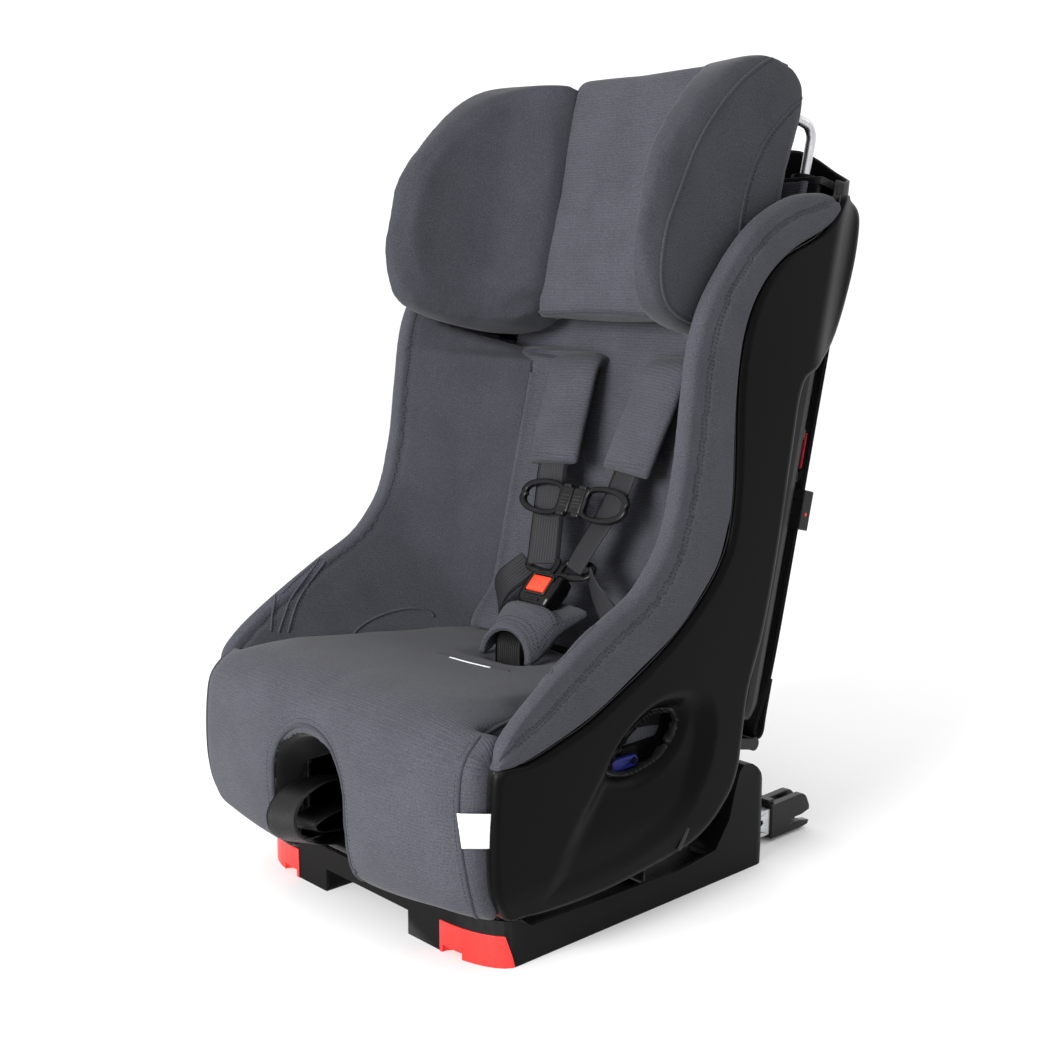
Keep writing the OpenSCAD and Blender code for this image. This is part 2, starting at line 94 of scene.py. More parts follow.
# ---------------------------------------------------------------- curves and meshes
def spline(points, steps=6):
    """Catmull-Rom curve through points, with steps between neighbours."""
    p = np.array(points, float)
    q = np.vstack([p[:1], p, p[-1:]])
    t = np.linspace(0, 1, steps, endpoint=False)[:, None]
    rows = []
    for a, b, c, d in zip(q[:-3], q[1:-2], q[2:-1], q[3:]):
        rows.append(
            0.5 * (
                2 * b + (c - a) * t + (2 * a - 5 * b + 4 * c - d) * t**2 + (3 * b - a - 3 * c + d) * t**3
            )
        )
    return np.vstack(rows + [p[-1:]])


def lengths(p):
    return np.concatenate([[0], np.cumsum(np.linalg.norm(np.diff(p, axis=0), axis=1))])


def resample(points, n, smooth=8):
    """n points evenly spaced along the smooth curve through points."""
    p = spline(points, smooth) if smooth else np.array(points, float)
    s = lengths(p)
    return np.stack([np.interp(np.linspace(0, s[-1], n), s, p[:, k]) for k in range(p.shape[1])], 1)


def new_object(name, mesh, materials=()):
    obj = bpy.data.objects.new(name, mesh)
    bpy.context.scene.collection.objects.link(obj)
    for m in materials:
        mesh.materials.append(m)
    return obj


def from_bmesh(name, bm, materials=()):
    mesh = bpy.data.meshes.new(name)
    bm.to_mesh(mesh)
    bm.free()
    return new_object(name, mesh, materials)


def smooth_shaded(obj):
    for poly in obj.data.polygons:
        poly.use_smooth = True
    return obj


def face_towards(obj, direction):
    """Turns an open skin so that most of it faces a direction."""
    if sum(p.normal.dot(Vector(direction)) * p.area for p in obj.data.polygons) < 0:
        obj.data.flip_normals()


def set_uv(obj, uv):
    """Writes UVs, one pair per vertex, in metres."""
    mesh = obj.data
    layer = mesh.uv_layers.get("UV") or mesh.uv_layers.new(name="UV")
    index = np.zeros(len(mesh.loops), int)
    mesh.loops.foreach_get("vertex_index", index)
    layer.data.foreach_set("uv", np.asarray(uv, np.float32)[index].ravel())


def add_mesh(name, verts, faces, material, uv=None):
    mesh = bpy.data.meshes.new(name)
    mesh.from_pydata([tuple(v) for v in verts], [], faces)
    mesh.update()
    obj = smooth_shaded(new_object(name, mesh, [material]))
    if uv is not None:
        set_uv(obj, uv)
    return obj


def evaluated(obj):
    return obj.evaluated_get(bpy.context.evaluated_depsgraph_get())


def surface(obj):
    return BVHTree.FromObject(obj, bpy.context.evaluated_depsgraph_get())


def fix_normals(obj):
    bm = bmesh.new()
    bm.from_mesh(obj.data)
    bmesh.ops.recalc_face_normals(bm, faces=bm.faces)
    bm.to_mesh(obj.data)
    bm.free()
    return obj


def loft(name, rings, material, closed=True, caps=True):
    """A skin over rings (stations x points x 3). UVs are metres round each ring and along the stations."""
    r = np.asarray(rings, float)
    n, m, _ = r.shape
    wrap = m if closed else m - 1
    faces = [
        (i * m + j, i * m + (j + 1) % m, (i + 1) * m + (j + 1) % m, (i + 1) * m + j)
        for i in range(n - 1)
        for j in range(wrap)
    ]
    verts = r.reshape(-1, 3)
    along = lengths(r.mean(1))
    u = np.stack([lengths(ring) for ring in r])
    uv = np.stack([u, np.repeat(along[:, None], m, 1)], 2).reshape(-1, 2)
    if caps and closed:
        verts = np.vstack([verts, r[0].mean(0), r[-1].mean(0)])
        uv = np.vstack([uv, [0, 0], [0, along[-1]]])
        first, last = n * m, n * m + 1
        faces += [(first, (j + 1) % m, j) for j in range(m)]
        faces += [(last, (n - 1) * m + j, (n - 1) * m + (j + 1) % m) for j in range(m)]
    return fix_normals(add_mesh(name, verts, faces, material, uv))


def tube(name, path, radius, material, sides=10, closed=False):
    """A round bar or piping along a path; radius may be one per point."""
    p = np.asarray(path, float)
    t = np.gradient(p, axis=0)
    if closed:
        t = np.roll(p, -1, 0) - np.roll(p, 1, 0)
    t /= np.linalg.norm(t, axis=1)[:, None]
    n = np.cross(t[0], [0.31, 0.52, 0.79])
    rings = []
    for k in range(len(p)):
        n = n - t[k] * (n @ t[k])
        n /= np.linalg.norm(n)
        b = np.cross(t[k], n)
        a = np.linspace(0, 2 * np.pi, sides, endpoint=False)[:, None]
        r = radius[k] if np.ndim(radius) else radius
        rings.append(p[k] + r * (np.cos(a) * n + np.sin(a) * b))
    if closed:
        rings.append(rings[0])
    return loft(name, rings, material, caps=not closed)


def ribbon(name, path, across, width, thick, material):
    """Flat webbing along path; across is its width direction (one, or one per point)."""
    p = np.asarray(path, float)
    a = np.broadcast_to(np.asarray(across, float), p.shape).copy()
    t = np.gradient(p, axis=0)
    t /= np.linalg.norm(t, axis=1)[:, None]
    a -= t * (a * t).sum(1)[:, None]
    a /= np.linalg.norm(a, axis=1)[:, None]
    n = np.cross(a, t)
    k = np.linspace(-1, 1, 9)
    rings = []
    for q, aa, nn in zip(p, a, n):
        top = [q + aa * (s * width / 2) + nn * (thick / 2 * (1 - s**8)) for s in k]
        low = [q + aa * (s * width / 2) - nn * (thick / 2 * (1 - s**8)) for s in k[::-1]]
        rings.append(top + low[1:-1])
    return loft(name, rings, material)


def join(name, objects):
    """Objects made into one piece."""
    bm = bmesh.new()
    materials = []
    for o in objects:
        slots = list(o.data.materials)
        start = len(bm.faces)
        bm.from_mesh(o.data)
        bm.faces.ensure_lookup_table()
        for f in bm.faces[start:]:
            m = slots[f.material_index]
            if m not in materials:
                materials.append(m)
            f.material_index = materials.index(m)
    for o in objects:
        bpy.data.objects.remove(o)
    return from_bmesh(name, bm, materials)


def modify(obj, kind, **values):
    """Applies a modifier to a piece."""
    mod = obj.modifiers.new(kind.title(), kind)
    for key, value in values.items():
        setattr(mod, key, value)
    bpy.context.view_layer.update()
    obj.data = bpy.data.meshes.new_from_object(evaluated(obj))
    obj.modifiers.clear()


def points_of(obj):
    """The points of a piece's mesh, or of a mesh."""
    vertices = getattr(obj, "data", obj).vertices
    co = np.zeros(len(vertices) * 3)
    vertices.foreach_get("co", co)
    return co.reshape(-1, 3)


def set_points(obj, co):
    obj.data.vertices.foreach_set("co", np.asarray(co, float).ravel())
    obj.data.update()


def rounded_box(name, low, high, radius, material, segments=3, matrix=None):
    """A box with rounded edges between two corners, in millimetres, moved by matrix if there is one."""
    bm = bmesh.new()
    bmesh.ops.create_cube(bm, size=1)
    low, high = np.array(low, float) * MM, np.array(high, float) * MM
    for v in bm.verts:
        v.co = Vector((low + high) / 2 + np.array(v.co) * (high - low))
    bmesh.ops.bevel(
        bm, geom=bm.edges[:], offset=radius * MM, segments=segments, profile=0.5, affect="EDGES"
    )
    if matrix is not None:
        bmesh.ops.transform(bm, matrix=matrix, verts=bm.verts)
    return smooth_shaded(from_bmesh(name, bm, [material]))


def copy_nodes(name, nodes, material):
    """A new piece that starts as a copy of CAD solids."""
    bm = bmesh.new()
    for node in nodes:
        bm.from_mesh(frame["nodes"][node].data)
    bmesh.ops.remove_doubles(bm, verts=bm.verts, dist=1e-5)
    return from_bmesh(name, bm, [material])


def puff(obj, voxel, smooth, pressure, cap, shape=None):
    """Turns a plain solid into a stuffed one: remesh, round its edges, blow it up as cloth, cap the move."""
    material = obj.data.materials[0]
    modify(obj, "REMESH", mode="VOXEL", voxel_size=voxel * MM)
    if shape is not None:
        set_points(obj, shape(points_of(obj)))
    modify(obj, "SMOOTH", factor=0.5, iterations=smooth)
    rest = points_of(obj)
    cloth = obj.modifiers.new("Cloth", "CLOTH")
    cloth.settings.quality = 4
    cloth.settings.use_pressure = True
    cloth.settings.uniform_pressure_force = pressure
    cloth.settings.tension_stiffness = 12
    cloth.settings.compression_stiffness = 12
    cloth.settings.bending_stiffness = 1.5
    cloth.settings.effector_weights.gravity = 0
    scene = bpy.context.scene
    for f in range(1, 21):
        scene.frame_set(f)
    moved = points_of(evaluated(obj).to_mesh())
    obj.modifiers.clear()
    scene.frame_set(1)
    step = evened(obj, moved - rest, 12)
    size = np.linalg.norm(step, axis=1)[:, None]
    set_points(obj, rest + step * np.minimum(1, cap * MM / np.maximum(size, 1e-9)))
    modify(obj, "SMOOTH", factor=0.5, iterations=3)
    modify(obj, "SUBSURF", levels=1, render_levels=1)
    if not obj.data.materials:
        obj.data.materials.append(material)
    for poly in obj.data.polygons:
        poly.use_smooth = True
        poly.material_index = 0
    return obj


def evened(obj, values, times):
    """Values at a mesh's points, averaged with their neighbours' so that no pucker is left."""
    ends = np.zeros(len(obj.data.edges) * 2, int)
    obj.data.edges.foreach_get("vertices", ends)
    a, b = ends.reshape(-1, 2).T
    count = np.bincount(a, minlength=len(values)) + np.bincount(b, minlength=len(values))
    for _ in range(times):
        total = np.zeros_like(values)
        np.add.at(total, a, values[b])
        np.add.at(total, b, values[a])
        values = 0.4 * values + 0.6 * total / np.maximum(count, 1)[:, None]
    return values


def draped(obj, points, lift=0.0, towards=None):
    """Points moved onto a piece's surface, along a direction or to the nearest place."""
    tree = surface(obj)
    found = []
    for p in points:
        p = Vector(p)
        if towards is None:
            place, normal, _, _ = tree.find_nearest(p)
        else:
            d = Vector(towards).normalized()
            place, normal, _, _ = tree.ray_cast(p - d * 0.3, d)
            if place is None:
                place, normal, _, _ = tree.find_nearest(p)
        found.append(place + normal * lift)
    return np.array(found)


def stitches(name, path, material, pitch=4.2, length=2.9, radius=0.38):
    """A row of thread stitches lying along a path."""
    s = lengths(path)
    bars = []
    for start in np.arange(0.5 * pitch * MM, s[-1] - pitch * MM, pitch * MM):
        at = np.linspace(start, start + length * MM, 4)
        q = np.stack([np.interp(at, s, path[:, k]) for k in range(3)], 1)
        r = np.array([0.25, 1, 1, 0.25]) * radius * MM
        bars.append(tube("stitch", q, r, material, sides=5))
    return join(name, bars)


# ---------------------------------------------------------------- materials
def material(name, color, rough, specular=0.5, metal=0.0, sheen=0.0):
    """A Principled material with its constants on the shader, and the node tools to add detail."""
    mat = bpy.data.materials.new(name)
    mat.use_nodes = True
    tree = mat.node_tree
    shader = tree.nodes["Principled BSDF"]
    shader.inputs["Base Color"].default_value = (*color, 1)
    shader.inputs["Roughness"].default_value = rough
    shader.inputs["Specular IOR Level"].default_value = specular
    shader.inputs["Metallic"].default_value = metal
    shader.inputs["Sheen Weight"].default_value = sheen
    shader.inputs["Sheen Roughness"].default_value = 0.45
    mat.diffuse_color = (*color, 1)
    return mat, tree, shader


def math_node(tree, operation, a, b=None):
    n = tree.nodes.new("ShaderNodeMath")
    n.operation = operation
    for socket, value in zip(n.inputs, (a, b)):
        if isinstance(value, (int, float)):
            socket.default_value = value
        elif value is not None:
            tree.links.new(value, socket)
    return n.outputs[0]


def noise(tree, scale, detail=2.0, stretch=None, rough=0.5):
    """Noise in the frame's own metres, stretched along an axis if asked."""
    place = tree.nodes.new("ShaderNodeTexCoord").outputs["Object"]
    if stretch is not None:
        mapping = tree.nodes.new("ShaderNodeMapping")
        mapping.inputs["Scale"].default_value = stretch
        tree.links.new(place, mapping.inputs["Vector"])
        place = mapping.outputs["Vector"]
    n = tree.nodes.new("ShaderNodeTexNoise")
    for key, value in (("Scale", scale), ("Detail", detail), ("Roughness", rough)):
        n.inputs[key].default_value = value
    tree.links.new(place, n.inputs["Vector"])
    return n.outputs["Fac"]


def uv_parts(tree):
    uv = tree.nodes.new("ShaderNodeUVMap")
    uv.uv_map = "UV"
    split = tree.nodes.new("ShaderNodeSeparateXYZ")
    tree.links.new(uv.outputs["UV"], split.inputs[0])
    return split.outputs["X"], split.outputs["Y"]


def wave(tree, value, pitch):
    """0 to 1 along value, once every pitch metres. The node's third input is 0.5."""
    turned = math_node(tree, "MULTIPLY", value, 2 * math.pi / pitch)
    return math_node(tree, "MULTIPLY_ADD", math_node(tree, "SINE", turned), 0.5)


def blend_colors(tree, fac, dark, light, low=0.3, high=0.7):
    ramp = tree.nodes.new("ShaderNodeValToRGB")
    ramp.color_ramp.elements[0].position = low
    ramp.color_ramp.elements[0].color = (*dark, 1)
    ramp.color_ramp.elements[1].position = high
    ramp.color_ramp.elements[1].color = (*light, 1)
    tree.links.new(fac, ramp.inputs["Fac"])
    return ramp.outputs["Color"]


def mix(tree, kind, fac, a, b):
    n = tree.nodes.new("ShaderNodeMix")
    n.data_type = "RGBA"
    n.blend_type = kind
    for socket, value in ((n.inputs["Factor"], fac), (n.inputs[6], a), (n.inputs[7], b)):
        if isinstance(value, (float, tuple)):
            socket.default_value = value
        else:
            tree.links.new(value, socket)
    return n.outputs[2]


def bump(tree, shader, height, depth):
    n = tree.nodes.new("ShaderNodeBump")
    n.inputs["Distance"].default_value = depth
    n.inputs["Strength"].default_value = 1.0
    tree.links.new(height, n.inputs["Height"])
    tree.links.new(n.outputs["Normal"], shader.inputs["Normal"])


def knit(name, color, rib_pitch=0.0032, rib_depth=0.0004, fleck=0.38, groove=0.86):
    """Heathered knit: flecked fibres, cross ribs along V with painted shade in their grooves, and a fine
    stitch along U.
    """
    mat, tree, shader = material(name, color, 0.92, specular=0.1, sheen=0.07)
    c = np.array(color)
    flecks = noise(tree, 1300, 3, rough=0.7)
    heather = blend_colors(tree, flecks, tuple(c * (1 - fleck)), tuple(c * (1 + fleck)), 0.34, 0.68)
    broad = blend_colors(tree, noise(tree, 22, 3), (0.86, 0.86, 0.86), (1.0, 1.0, 1.0), 0.3, 0.7)
    across, along = uv_parts(tree)
    rib = wave(tree, along, rib_pitch)
    stitch = wave(tree, across, 0.0016)
    # painted shade: the colour darkens in each rib's groove, down to the groove factor
    shade = blend_colors(tree, rib, (groove, groove, groove), (1.0, 1.0, 1.0), 0.05, 0.6)
    toned = mix(tree, "MULTIPLY", 1.0, mix(tree, "MULTIPLY", 1.0, heather, broad), shade)
    tree.links.new(toned, shader.inputs["Base Color"])
    height = math_node(tree, "MULTIPLY_ADD", rib, 0.75)
    tree.links.new(math_node(tree, "MULTIPLY", stitch, 0.25), height.node.inputs[2])
    rough_height = math_node(tree, "MULTIPLY_ADD", flecks, 0.35)
    tree.links.new(height, rough_height.node.inputs[2])
    bump(tree, shader, rough_height, rib_depth)
    return mat


def webbing_material(name, color, rough, specular=0.3):
    """Woven polyester: ribs along the strap, fine picks across it."""
    mat, tree, shader = material(name, color, rough, specular=specular)
    c = np.array(color)
    across, along = uv_parts(tree)
    rib = wave(tree, across, 0.0030)
    slanted = math_node(tree, "ADD", along, across)
    pick = wave(tree, slanted, 0.0014)
    tone = math_node(tree, "MULTIPLY_ADD", rib, 0.6)
    tree.links.new(math_node(tree, "MULTIPLY", pick, 0.4), tone.node.inputs[2])
    base = blend_colors(tree, tone, tuple(c * 0.6), tuple(c * 1.5), 0.15, 0.85)
    fuzz = blend_colors(tree, noise(tree, 900, 2), (0.8, 0.8, 0.8), (1, 1, 1))
    tree.links.new(mix(tree, "MULTIPLY", 1.0, base, fuzz), shader.inputs["Base Color"])
    bump(tree, shader, tone, 0.0006)
    return mat


SCUFF, SCUFF_COLOR = 0.15, (0.35, 0.35, 0.36, 1)  # wear on proud edges of plastic


def plastic(name, color, rough, grain=0.00006, specular=0.5):
    """Moulded plastic: fine spark-eroded grain, slightly uneven gloss, worn where it stands proud."""
    mat, tree, shader = material(name, color, rough, specular=specular)
    c = np.array(color)
    uneven = noise(tree, 9, 4)
    fine = noise(tree, 1500, 2)
    rough_range = tree.nodes.new("ShaderNodeMapRange")
    rough_range.inputs["To Min"].default_value = rough - 0.06
    rough_range.inputs["To Max"].default_value = rough + 0.08
    tree.links.new(uneven, rough_range.inputs["Value"])
    tree.links.new(rough_range.outputs["Result"], shader.inputs["Roughness"])
    toned = blend_colors(tree, uneven, tuple(c * 0.9), tuple(c * 1.08))
    edge = tree.nodes.new("ShaderNodeNewGeometry").outputs["Pointiness"]
    worn = blend_colors(tree, edge, (0, 0, 0), (1, 1, 1), 0.53, 0.62)
    patchy = math_node(tree, "MULTIPLY", math_node(tree, "MULTIPLY", noise(tree, 160, 4), SCUFF), 1.0)
    tree.links.new(worn, patchy.node.inputs[1])
    tree.links.new(mix(tree, "MIX", patchy, toned, SCUFF_COLOR), shader.inputs["Base Color"])
    bump(tree, shader, fine, grain)
    return mat


def brushed(name, color, rough, stretch):
    """Brushed metal with its lines along the axis that stretch makes long."""
    mat, tree, shader = material(name, color, rough, metal=1.0)
    lines = noise(tree, 1.0, 3, stretch=stretch)
    c = np.array(color)
    tree.links.new(
        blend_colors(tree, lines, tuple(c * 0.82), tuple(np.minimum(c * 1.1, 1))),
        shader.inputs["Base Color"]
    )
    spread = tree.nodes.new("ShaderNodeMapRange")
    spread.inputs["To Min"].default_value = rough - 0.08
    spread.inputs["To Max"].default_value = rough + 0.12
    tree.links.new(noise(tree, 60, 3), spread.inputs["Value"])
    tree.links.new(spread.outputs["Result"], shader.inputs["Roughness"])
    bump(tree, shader, lines, 0.00004)
    return mat


KNIT = knit("knit_grey", (0.050, 0.051, 0.061), rib_depth=0.0003, fleck=0.5, groove=0.92)
KNIT_DARK = knit(
    "knit_dark", (0.037, 0.038, 0.046), rib_pitch=0.0022, rib_depth=0.00008, fleck=0.46, groove=0.96
)
KNIT_SIDE = knit(
    "knit_side", (0.047, 0.048, 0.058), rib_pitch=0.0026, rib_depth=0.00012, fleck=0.46, groove=0.95
)
# near-black knit for the faces inside the cushion's arch: painted shade
ARCH_SHADE = knit(
    "arch_shade_black", (0.006, 0.006, 0.007), rib_pitch=0.002, rib_depth=0.0001, fleck=0.2, groove=0.96
)
THREAD = knit("thread_grey", (0.024, 0.024, 0.029), rib_pitch=0.0009, rib_depth=0.0002)
WEB = webbing_material("webbing_black", (0.014, 0.014, 0.016), 0.6)
WEB_GLOSS = webbing_material("webbing_gloss", (0.0025, 0.0025, 0.0028), 0.3, specular=0.14)
SHELL = plastic("shell_plastic", (0.0016, 0.0016, 0.0017), 0.34, specular=0.05)
BASE = plastic("base_plastic", (0.0035, 0.0034, 0.0037), 0.48, specular=0.08, grain=0.0001)
GLOSS = plastic("gloss_black_plastic", (0.0022, 0.0022, 0.0024), 0.26, specular=0.2, grain=0.00002)
RED = plastic("red_plastic", (0.60, 0.022, 0.018), 0.38, grain=0.00005, specular=0.25)
TETHER_RED = plastic("tether_red_plastic", (0.60, 0.012, 0.03), 0.35, grain=0.00005)
ORANGE = plastic("orange_button", (0.74, 0.038, 0.007), 0.3, grain=0.00004)
BLUE = plastic("blue_plastic", (0.003, 0.008, 0.11), 0.4, specular=0.15)
STEEL = brushed("latch_steel", (0.60, 0.61, 0.63), 0.34, (900, 30, 900))
BAR = brushed("bar_steel", (0.56, 0.56, 0.58), 0.34, (500, 500, 40))
CORE = plastic("core_plastic", (0.003, 0.003, 0.003), 0.7, specular=0.05)
# white of the woven tag, also laid in the cushion's slit as a painted highlight
TAG_AND_SLIT_HIGHLIGHT = knit("tag_white", (0.80, 0.80, 0.80), rib_pitch=0.0008, rib_depth=0.00015, fleck=0.05, groove=0.95)


# ---------------------------------------------------------------- outlines, in millimetres
# Side outline of the shell as [y, z]: up the front, then where the fabric ends, to the top
EDGE_LINE = [
    (-196, 66), (-209, 90), (-212, 120), (-212, 160), (-208, 196), (-196, 199), (-170, 198), (-130, 208),
    (-87, 223), (5, 271), (70, 330), (89, 390), (91, 500), (108, 564), (146, 607), (207, 633), (236, 659),
    (241, 671),
]
# and along the belly from the front, then up the rear crease to the top
REAR_LINE = [
    (-181, 62), (-150, 56.4), (-110, 53.5), (-60, 53.9), (0, 60.5), (50, 70.5), (92, 102), (106, 128),
    (110, 150),
    (119, 202), (140, 258), (160, 339), (177, 429), (192, 492), (222, 507), (255, 527), (284, 590),
    (295, 640),
    (289, 662), (262, 671),
]
# The dish moulded round the belt path, and the opening in it
RECESS_LINE = [
    (9, 226), (35, 222), (57, 209), (67, 189), (67, 167), (60, 143), (47, 120), (30, 99), (-10, 82),
    (-70, 66), (-156, 64),
    (-141, 104), (-121, 131), (-99, 156), (-79, 181), (-59, 201), (-35, 217), (-12, 224), (9, 226),
]
OPENING_LINE = [
    (17, 201), (23, 192), (18, 179), (6, 167), (-10, 159), (-36, 155), (-60, 160), (-65, 171), (-54, 185),
    (-36, 196),
    (-12, 204), (17, 201),
]
# Each bolster, from its front tip to its top: rim [y, z], outer edge [y, z], inner root [x, y, z]
BOLSTER_TABLE = [
    ((-207, 205), (-207, 198), (196, -205, 197)),
    ((-200, 222), (-188, 196), (190, -186, 199)),
    ((-177, 243), (-150, 203), (184, -158, 203)),
    ((-136, 270), (-92, 221), (175, -108, 204)),
    ((-88, 298), (-38, 248), (161, -45, 200)),
    ((-41, 322), (15, 277), (144, 22, 196)),
    ((-11, 354), (48, 306), (131, 84, 204)),
    ((2, 381), (70, 331), (127, 98, 270)),
    ((8, 404), (82, 360), (126, 110, 328)),
    ((14, 430), (89, 391), (125, 123, 386)),
    ((21, 484), (91, 484), (125, 141, 466)),
    ((32, 545), (102, 548), (125, 159, 540)),
    ((61, 594), (128, 590), (125, 172, 596)),
    ((107, 640), (166, 617), (128, 186, 640)),
    ((160, 666), (208, 634), (140, 205, 655)),
    ((205, 672), (229, 645), (155, 225, 659)),
    ((227, 670), (237, 655), (160, 231, 661)),
]


def inside(points, outline):
    """Which points lie in a closed outline."""
    x, y = points[:, 0], points[:, 1]
    hit = np.zeros(len(points), bool)
    for (ax, ay), (bx, by) in zip(outline[:-1], outline[1:]):
        crosses = (ay > y) != (by > y)
        hit ^= crosses & (x < (bx - ax) * (y - ay) / (by - ay + 1e-12) + ax)
    return hit


def nearest(points, line):
    """The nearest place on a line to each point, and how far it is."""
    best = np.full(len(points), 1e9)
    place = np.zeros_like(points)
    for a, b in zip(line[:-1], line[1:]):
        d = b - a
        t = np.clip(((points - a) @ d) / max(d @ d, 1e-12), 0, 1)[:, None]
        q = a + t * d
        far = np.linalg.norm(points - q, axis=1)
        closer = far < best
        best[closer] = far[closer]
        place[closer] = q[closer]
    return place, best


def smoothstep(x):
    x = np.clip(x, 0, 1)
    return x * x * (3 - 2 * x)


# ---------------------------------------------------------------- moulded shell
def side_shell(name):
    """One side of the shell: a skin from its front edge to its belly and rear crease, turned in all round."""
    rows, across, edge_r, rear_r = 240, 104, 7.0, 13.0
    front = resample(EDGE_LINE, rows, 5)
    rear = resample(REAR_LINE, rows, 5)
    out = SIDE_OUT / MM
    grid = np.zeros((rows, across, 3))
    turns = np.linspace(0, math.pi / 2, 6)
    for i in range(rows):
        span = rear[i] - front[i]
        length = np.linalg.norm(span)
        unit = span / length
        r1, r2 = min(edge_r, 0.3 * length), min(rear_r, 0.4 * length)
        d = [0.0] + list(r1 * (1 - np.cos(turns)))
        x = [out - 15.8] + list(out - r1 + r1 * np.sin(turns))
        middle = np.linspace(r1, length - r2, across - 12)[1:-1]
        d += list(middle) + list((length - r2 * (1 - np.cos(turns)))[::-1]) + [length]
        x += [out] * len(middle) + list((out - r2 + r2 * np.sin(turns))[::-1]) + [out - 15.8]
        grid[i] = np.column_stack([x, front[i] + np.outer(d, unit)])
    flat = grid[:, :, 1:].reshape(-1, 2)
    recess = resample(RECESS_LINE, 160, 6)
    opening = resample(OPENING_LINE, 160, 6)
    _, far = nearest(flat, recess)
    _, from_hole = nearest(flat, opening)
    cut = inside(flat, opening)
    # the dish is crisp above, behind and along its front crease, and fades out towards the belly
    depth = 2.6 * smoothstep((flat[:, 1] - 60) / 30) + 7.5 * smoothstep((flat[:, 1] - 100) / 55)
    dish = np.where(inside(flat, recess), depth * smoothstep(far / 24), 0)
    lip = 8.0 * (1 - smoothstep(from_hole / 15)) * ~cut
    leaned = unlean(np.column_stack([flat[:, 0] * 0, flat]) * MM)
    # the hood over the top of the back closes in towards the rear, the belly towards the floor
    hood = 15 * smoothstep((leaned[:, 1] + 4) / 52) * smoothstep((leaned[:, 2] - 330) / 60)
    belly = 5 * smoothstep((92 - flat[:, 1]) / 45)
    x = grid[:, :, 0].reshape(-1) - dish - lip - hood - belly
    verts = np.column_stack([x, flat])
    faces = []
    keep = ~cut
    for i in range(rows - 1):
        for j in range(across - 1):
            quad = (i * across + j, i * across + j + 1, (i + 1) * across + j + 1, (i + 1) * across + j)
            if keep[list(quad)].any():
                faces.append(quad)
    # points just inside the opening are drawn onto its edge, then the edge is turned inwards
    snap, _ = nearest(flat[cut], opening)
    verts[cut, 1:] = snap
    obj = add_mesh(name, verts * MM, faces, SHELL)
    bm = bmesh.new()
    bm.from_mesh(obj.data)
    bmesh.ops.delete(bm, geom=[v for v in bm.verts if not v.link_faces], context="VERTS")
    bmesh.ops.dissolve_degenerate(bm, edges=bm.edges[:], dist=1e-5)
    rim = []
    for e in bm.edges:
        if e.is_boundary:
            mid = np.array((e.verts[0].co + e.verts[1].co) / 2)[1:] / MM
            if nearest(mid[None], opening)[1][0] < 6:
                rim.append(e)
    middle = np.array([-22.0, 181.0]) * MM
    for drop, inset in ((3.0, 1.4), (4.0, 0.6)):
        made = bmesh.ops.extrude_edge_only(bm, edges=rim)["geom"]
        moved = [v for v in made if isinstance(v, bmesh.types.BMVert)]
        rim = [e for e in made if isinstance(e, bmesh.types.BMEdge) and all(v in moved for v in e.verts)]
        for v in moved:
            v.co.x -= drop * MM
            v.co += Vector((0, middle[0] - v.co.y, middle[1] - v.co.z)).normalized() * inset * MM
    bmesh.ops.recalc_face_normals(bm, faces=bm.faces)
    bm.to_mesh(obj.data)
    bm.free()
    face_towards(obj, (1, 0, 0))
    modify(obj, "SOLIDIFY", thickness=0.0026, offset=-1)
    return smooth_shaded(obj)


def mirror_object(obj, name):
    """A copy of a piece on the other side of the seat."""
    other = new_object(name, obj.data.copy())
    other.data.transform(Matrix.Scale(-1, 4, (1, 0, 0)))
    other.data.flip_normals()
    return other


def place(obj, body, nodes=(), slot=None, padded=None):
    """Rides a piece on its body and hides the CAD nodes it stands for."""
    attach(obj, body)
    if nodes:
        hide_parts(*nodes)
    return obj


def side_shells():
    right = side_shell("side_skin_right")
    bead_path = resample(EDGE_LINE[4:], 150, 6)
    bead = tube("bead", world(np.column_stack([np.full(150, 209.5), bead_path])), 0.9 * MM, GLOSS, 6)
    # the finger slot low on the side, slanted along the belly
    slot_y, slot_z = 22, 80
    turn = Matrix.Translation((0, slot_y * MM, slot_z * MM)) @ Matrix.Rotation(math.radians(-34), 4, "X")
    out = SIDE_OUT / MM
    slot_mark = rounded_box("slot_mark", (out - 2.4, -2.2, -11), (out + 0.2, 2.2, 11), 0.6, GLOSS, 3, turn)
    right = join("side_skin_right", [right, bead, slot_mark])
    left = mirror_object(right, "side_skin_left")
    place(right, "shell", ["side_shell_right"], "shell_plastic")
    place(left, "shell", ["side_shell_left"], "shell_plastic")
    # the belt guide is a smooth funnel just inside the opening
    loop = resample(OPENING_LINE, 121, 6)[:-1]
    centre = loop.mean(0)
    rings = []
    for x, grow in (
        (198.5, -0.5), (200.5, 1.2), (199.5, 4.5), (196, 5.5), (190, 3.5), (184, 2.0), (184.2, 0.6),
        (190, 1.6), (196, 2.5), (198.5, -0.5)
    ):
        unit = (loop - centre) / np.linalg.norm(loop - centre, axis=1)[:, None]
        rings.append(world(np.column_stack([np.full(len(loop), x), loop + unit * grow])))
    guide = loft("belt_funnel_right", rings, GLOSS, caps=False)
    place(guide, "shell", ["belt_guide_right"], "gloss_black_plastic")
    place(mirror_object(guide, "belt_funnel_left"), "shell", ["belt_guide_left"], "gloss_black_plastic")


def back_depth(z):
    """How far back the cover stands at a height, in the reclined frame: flat, then flared into a hood."""
    return 48 - 22 * smoothstep((40 - z) / 40) + 11 * smoothstep((z - 392) / 16) * (
        1 - 0.9 * smoothstep((z - 500) / 80)
    )


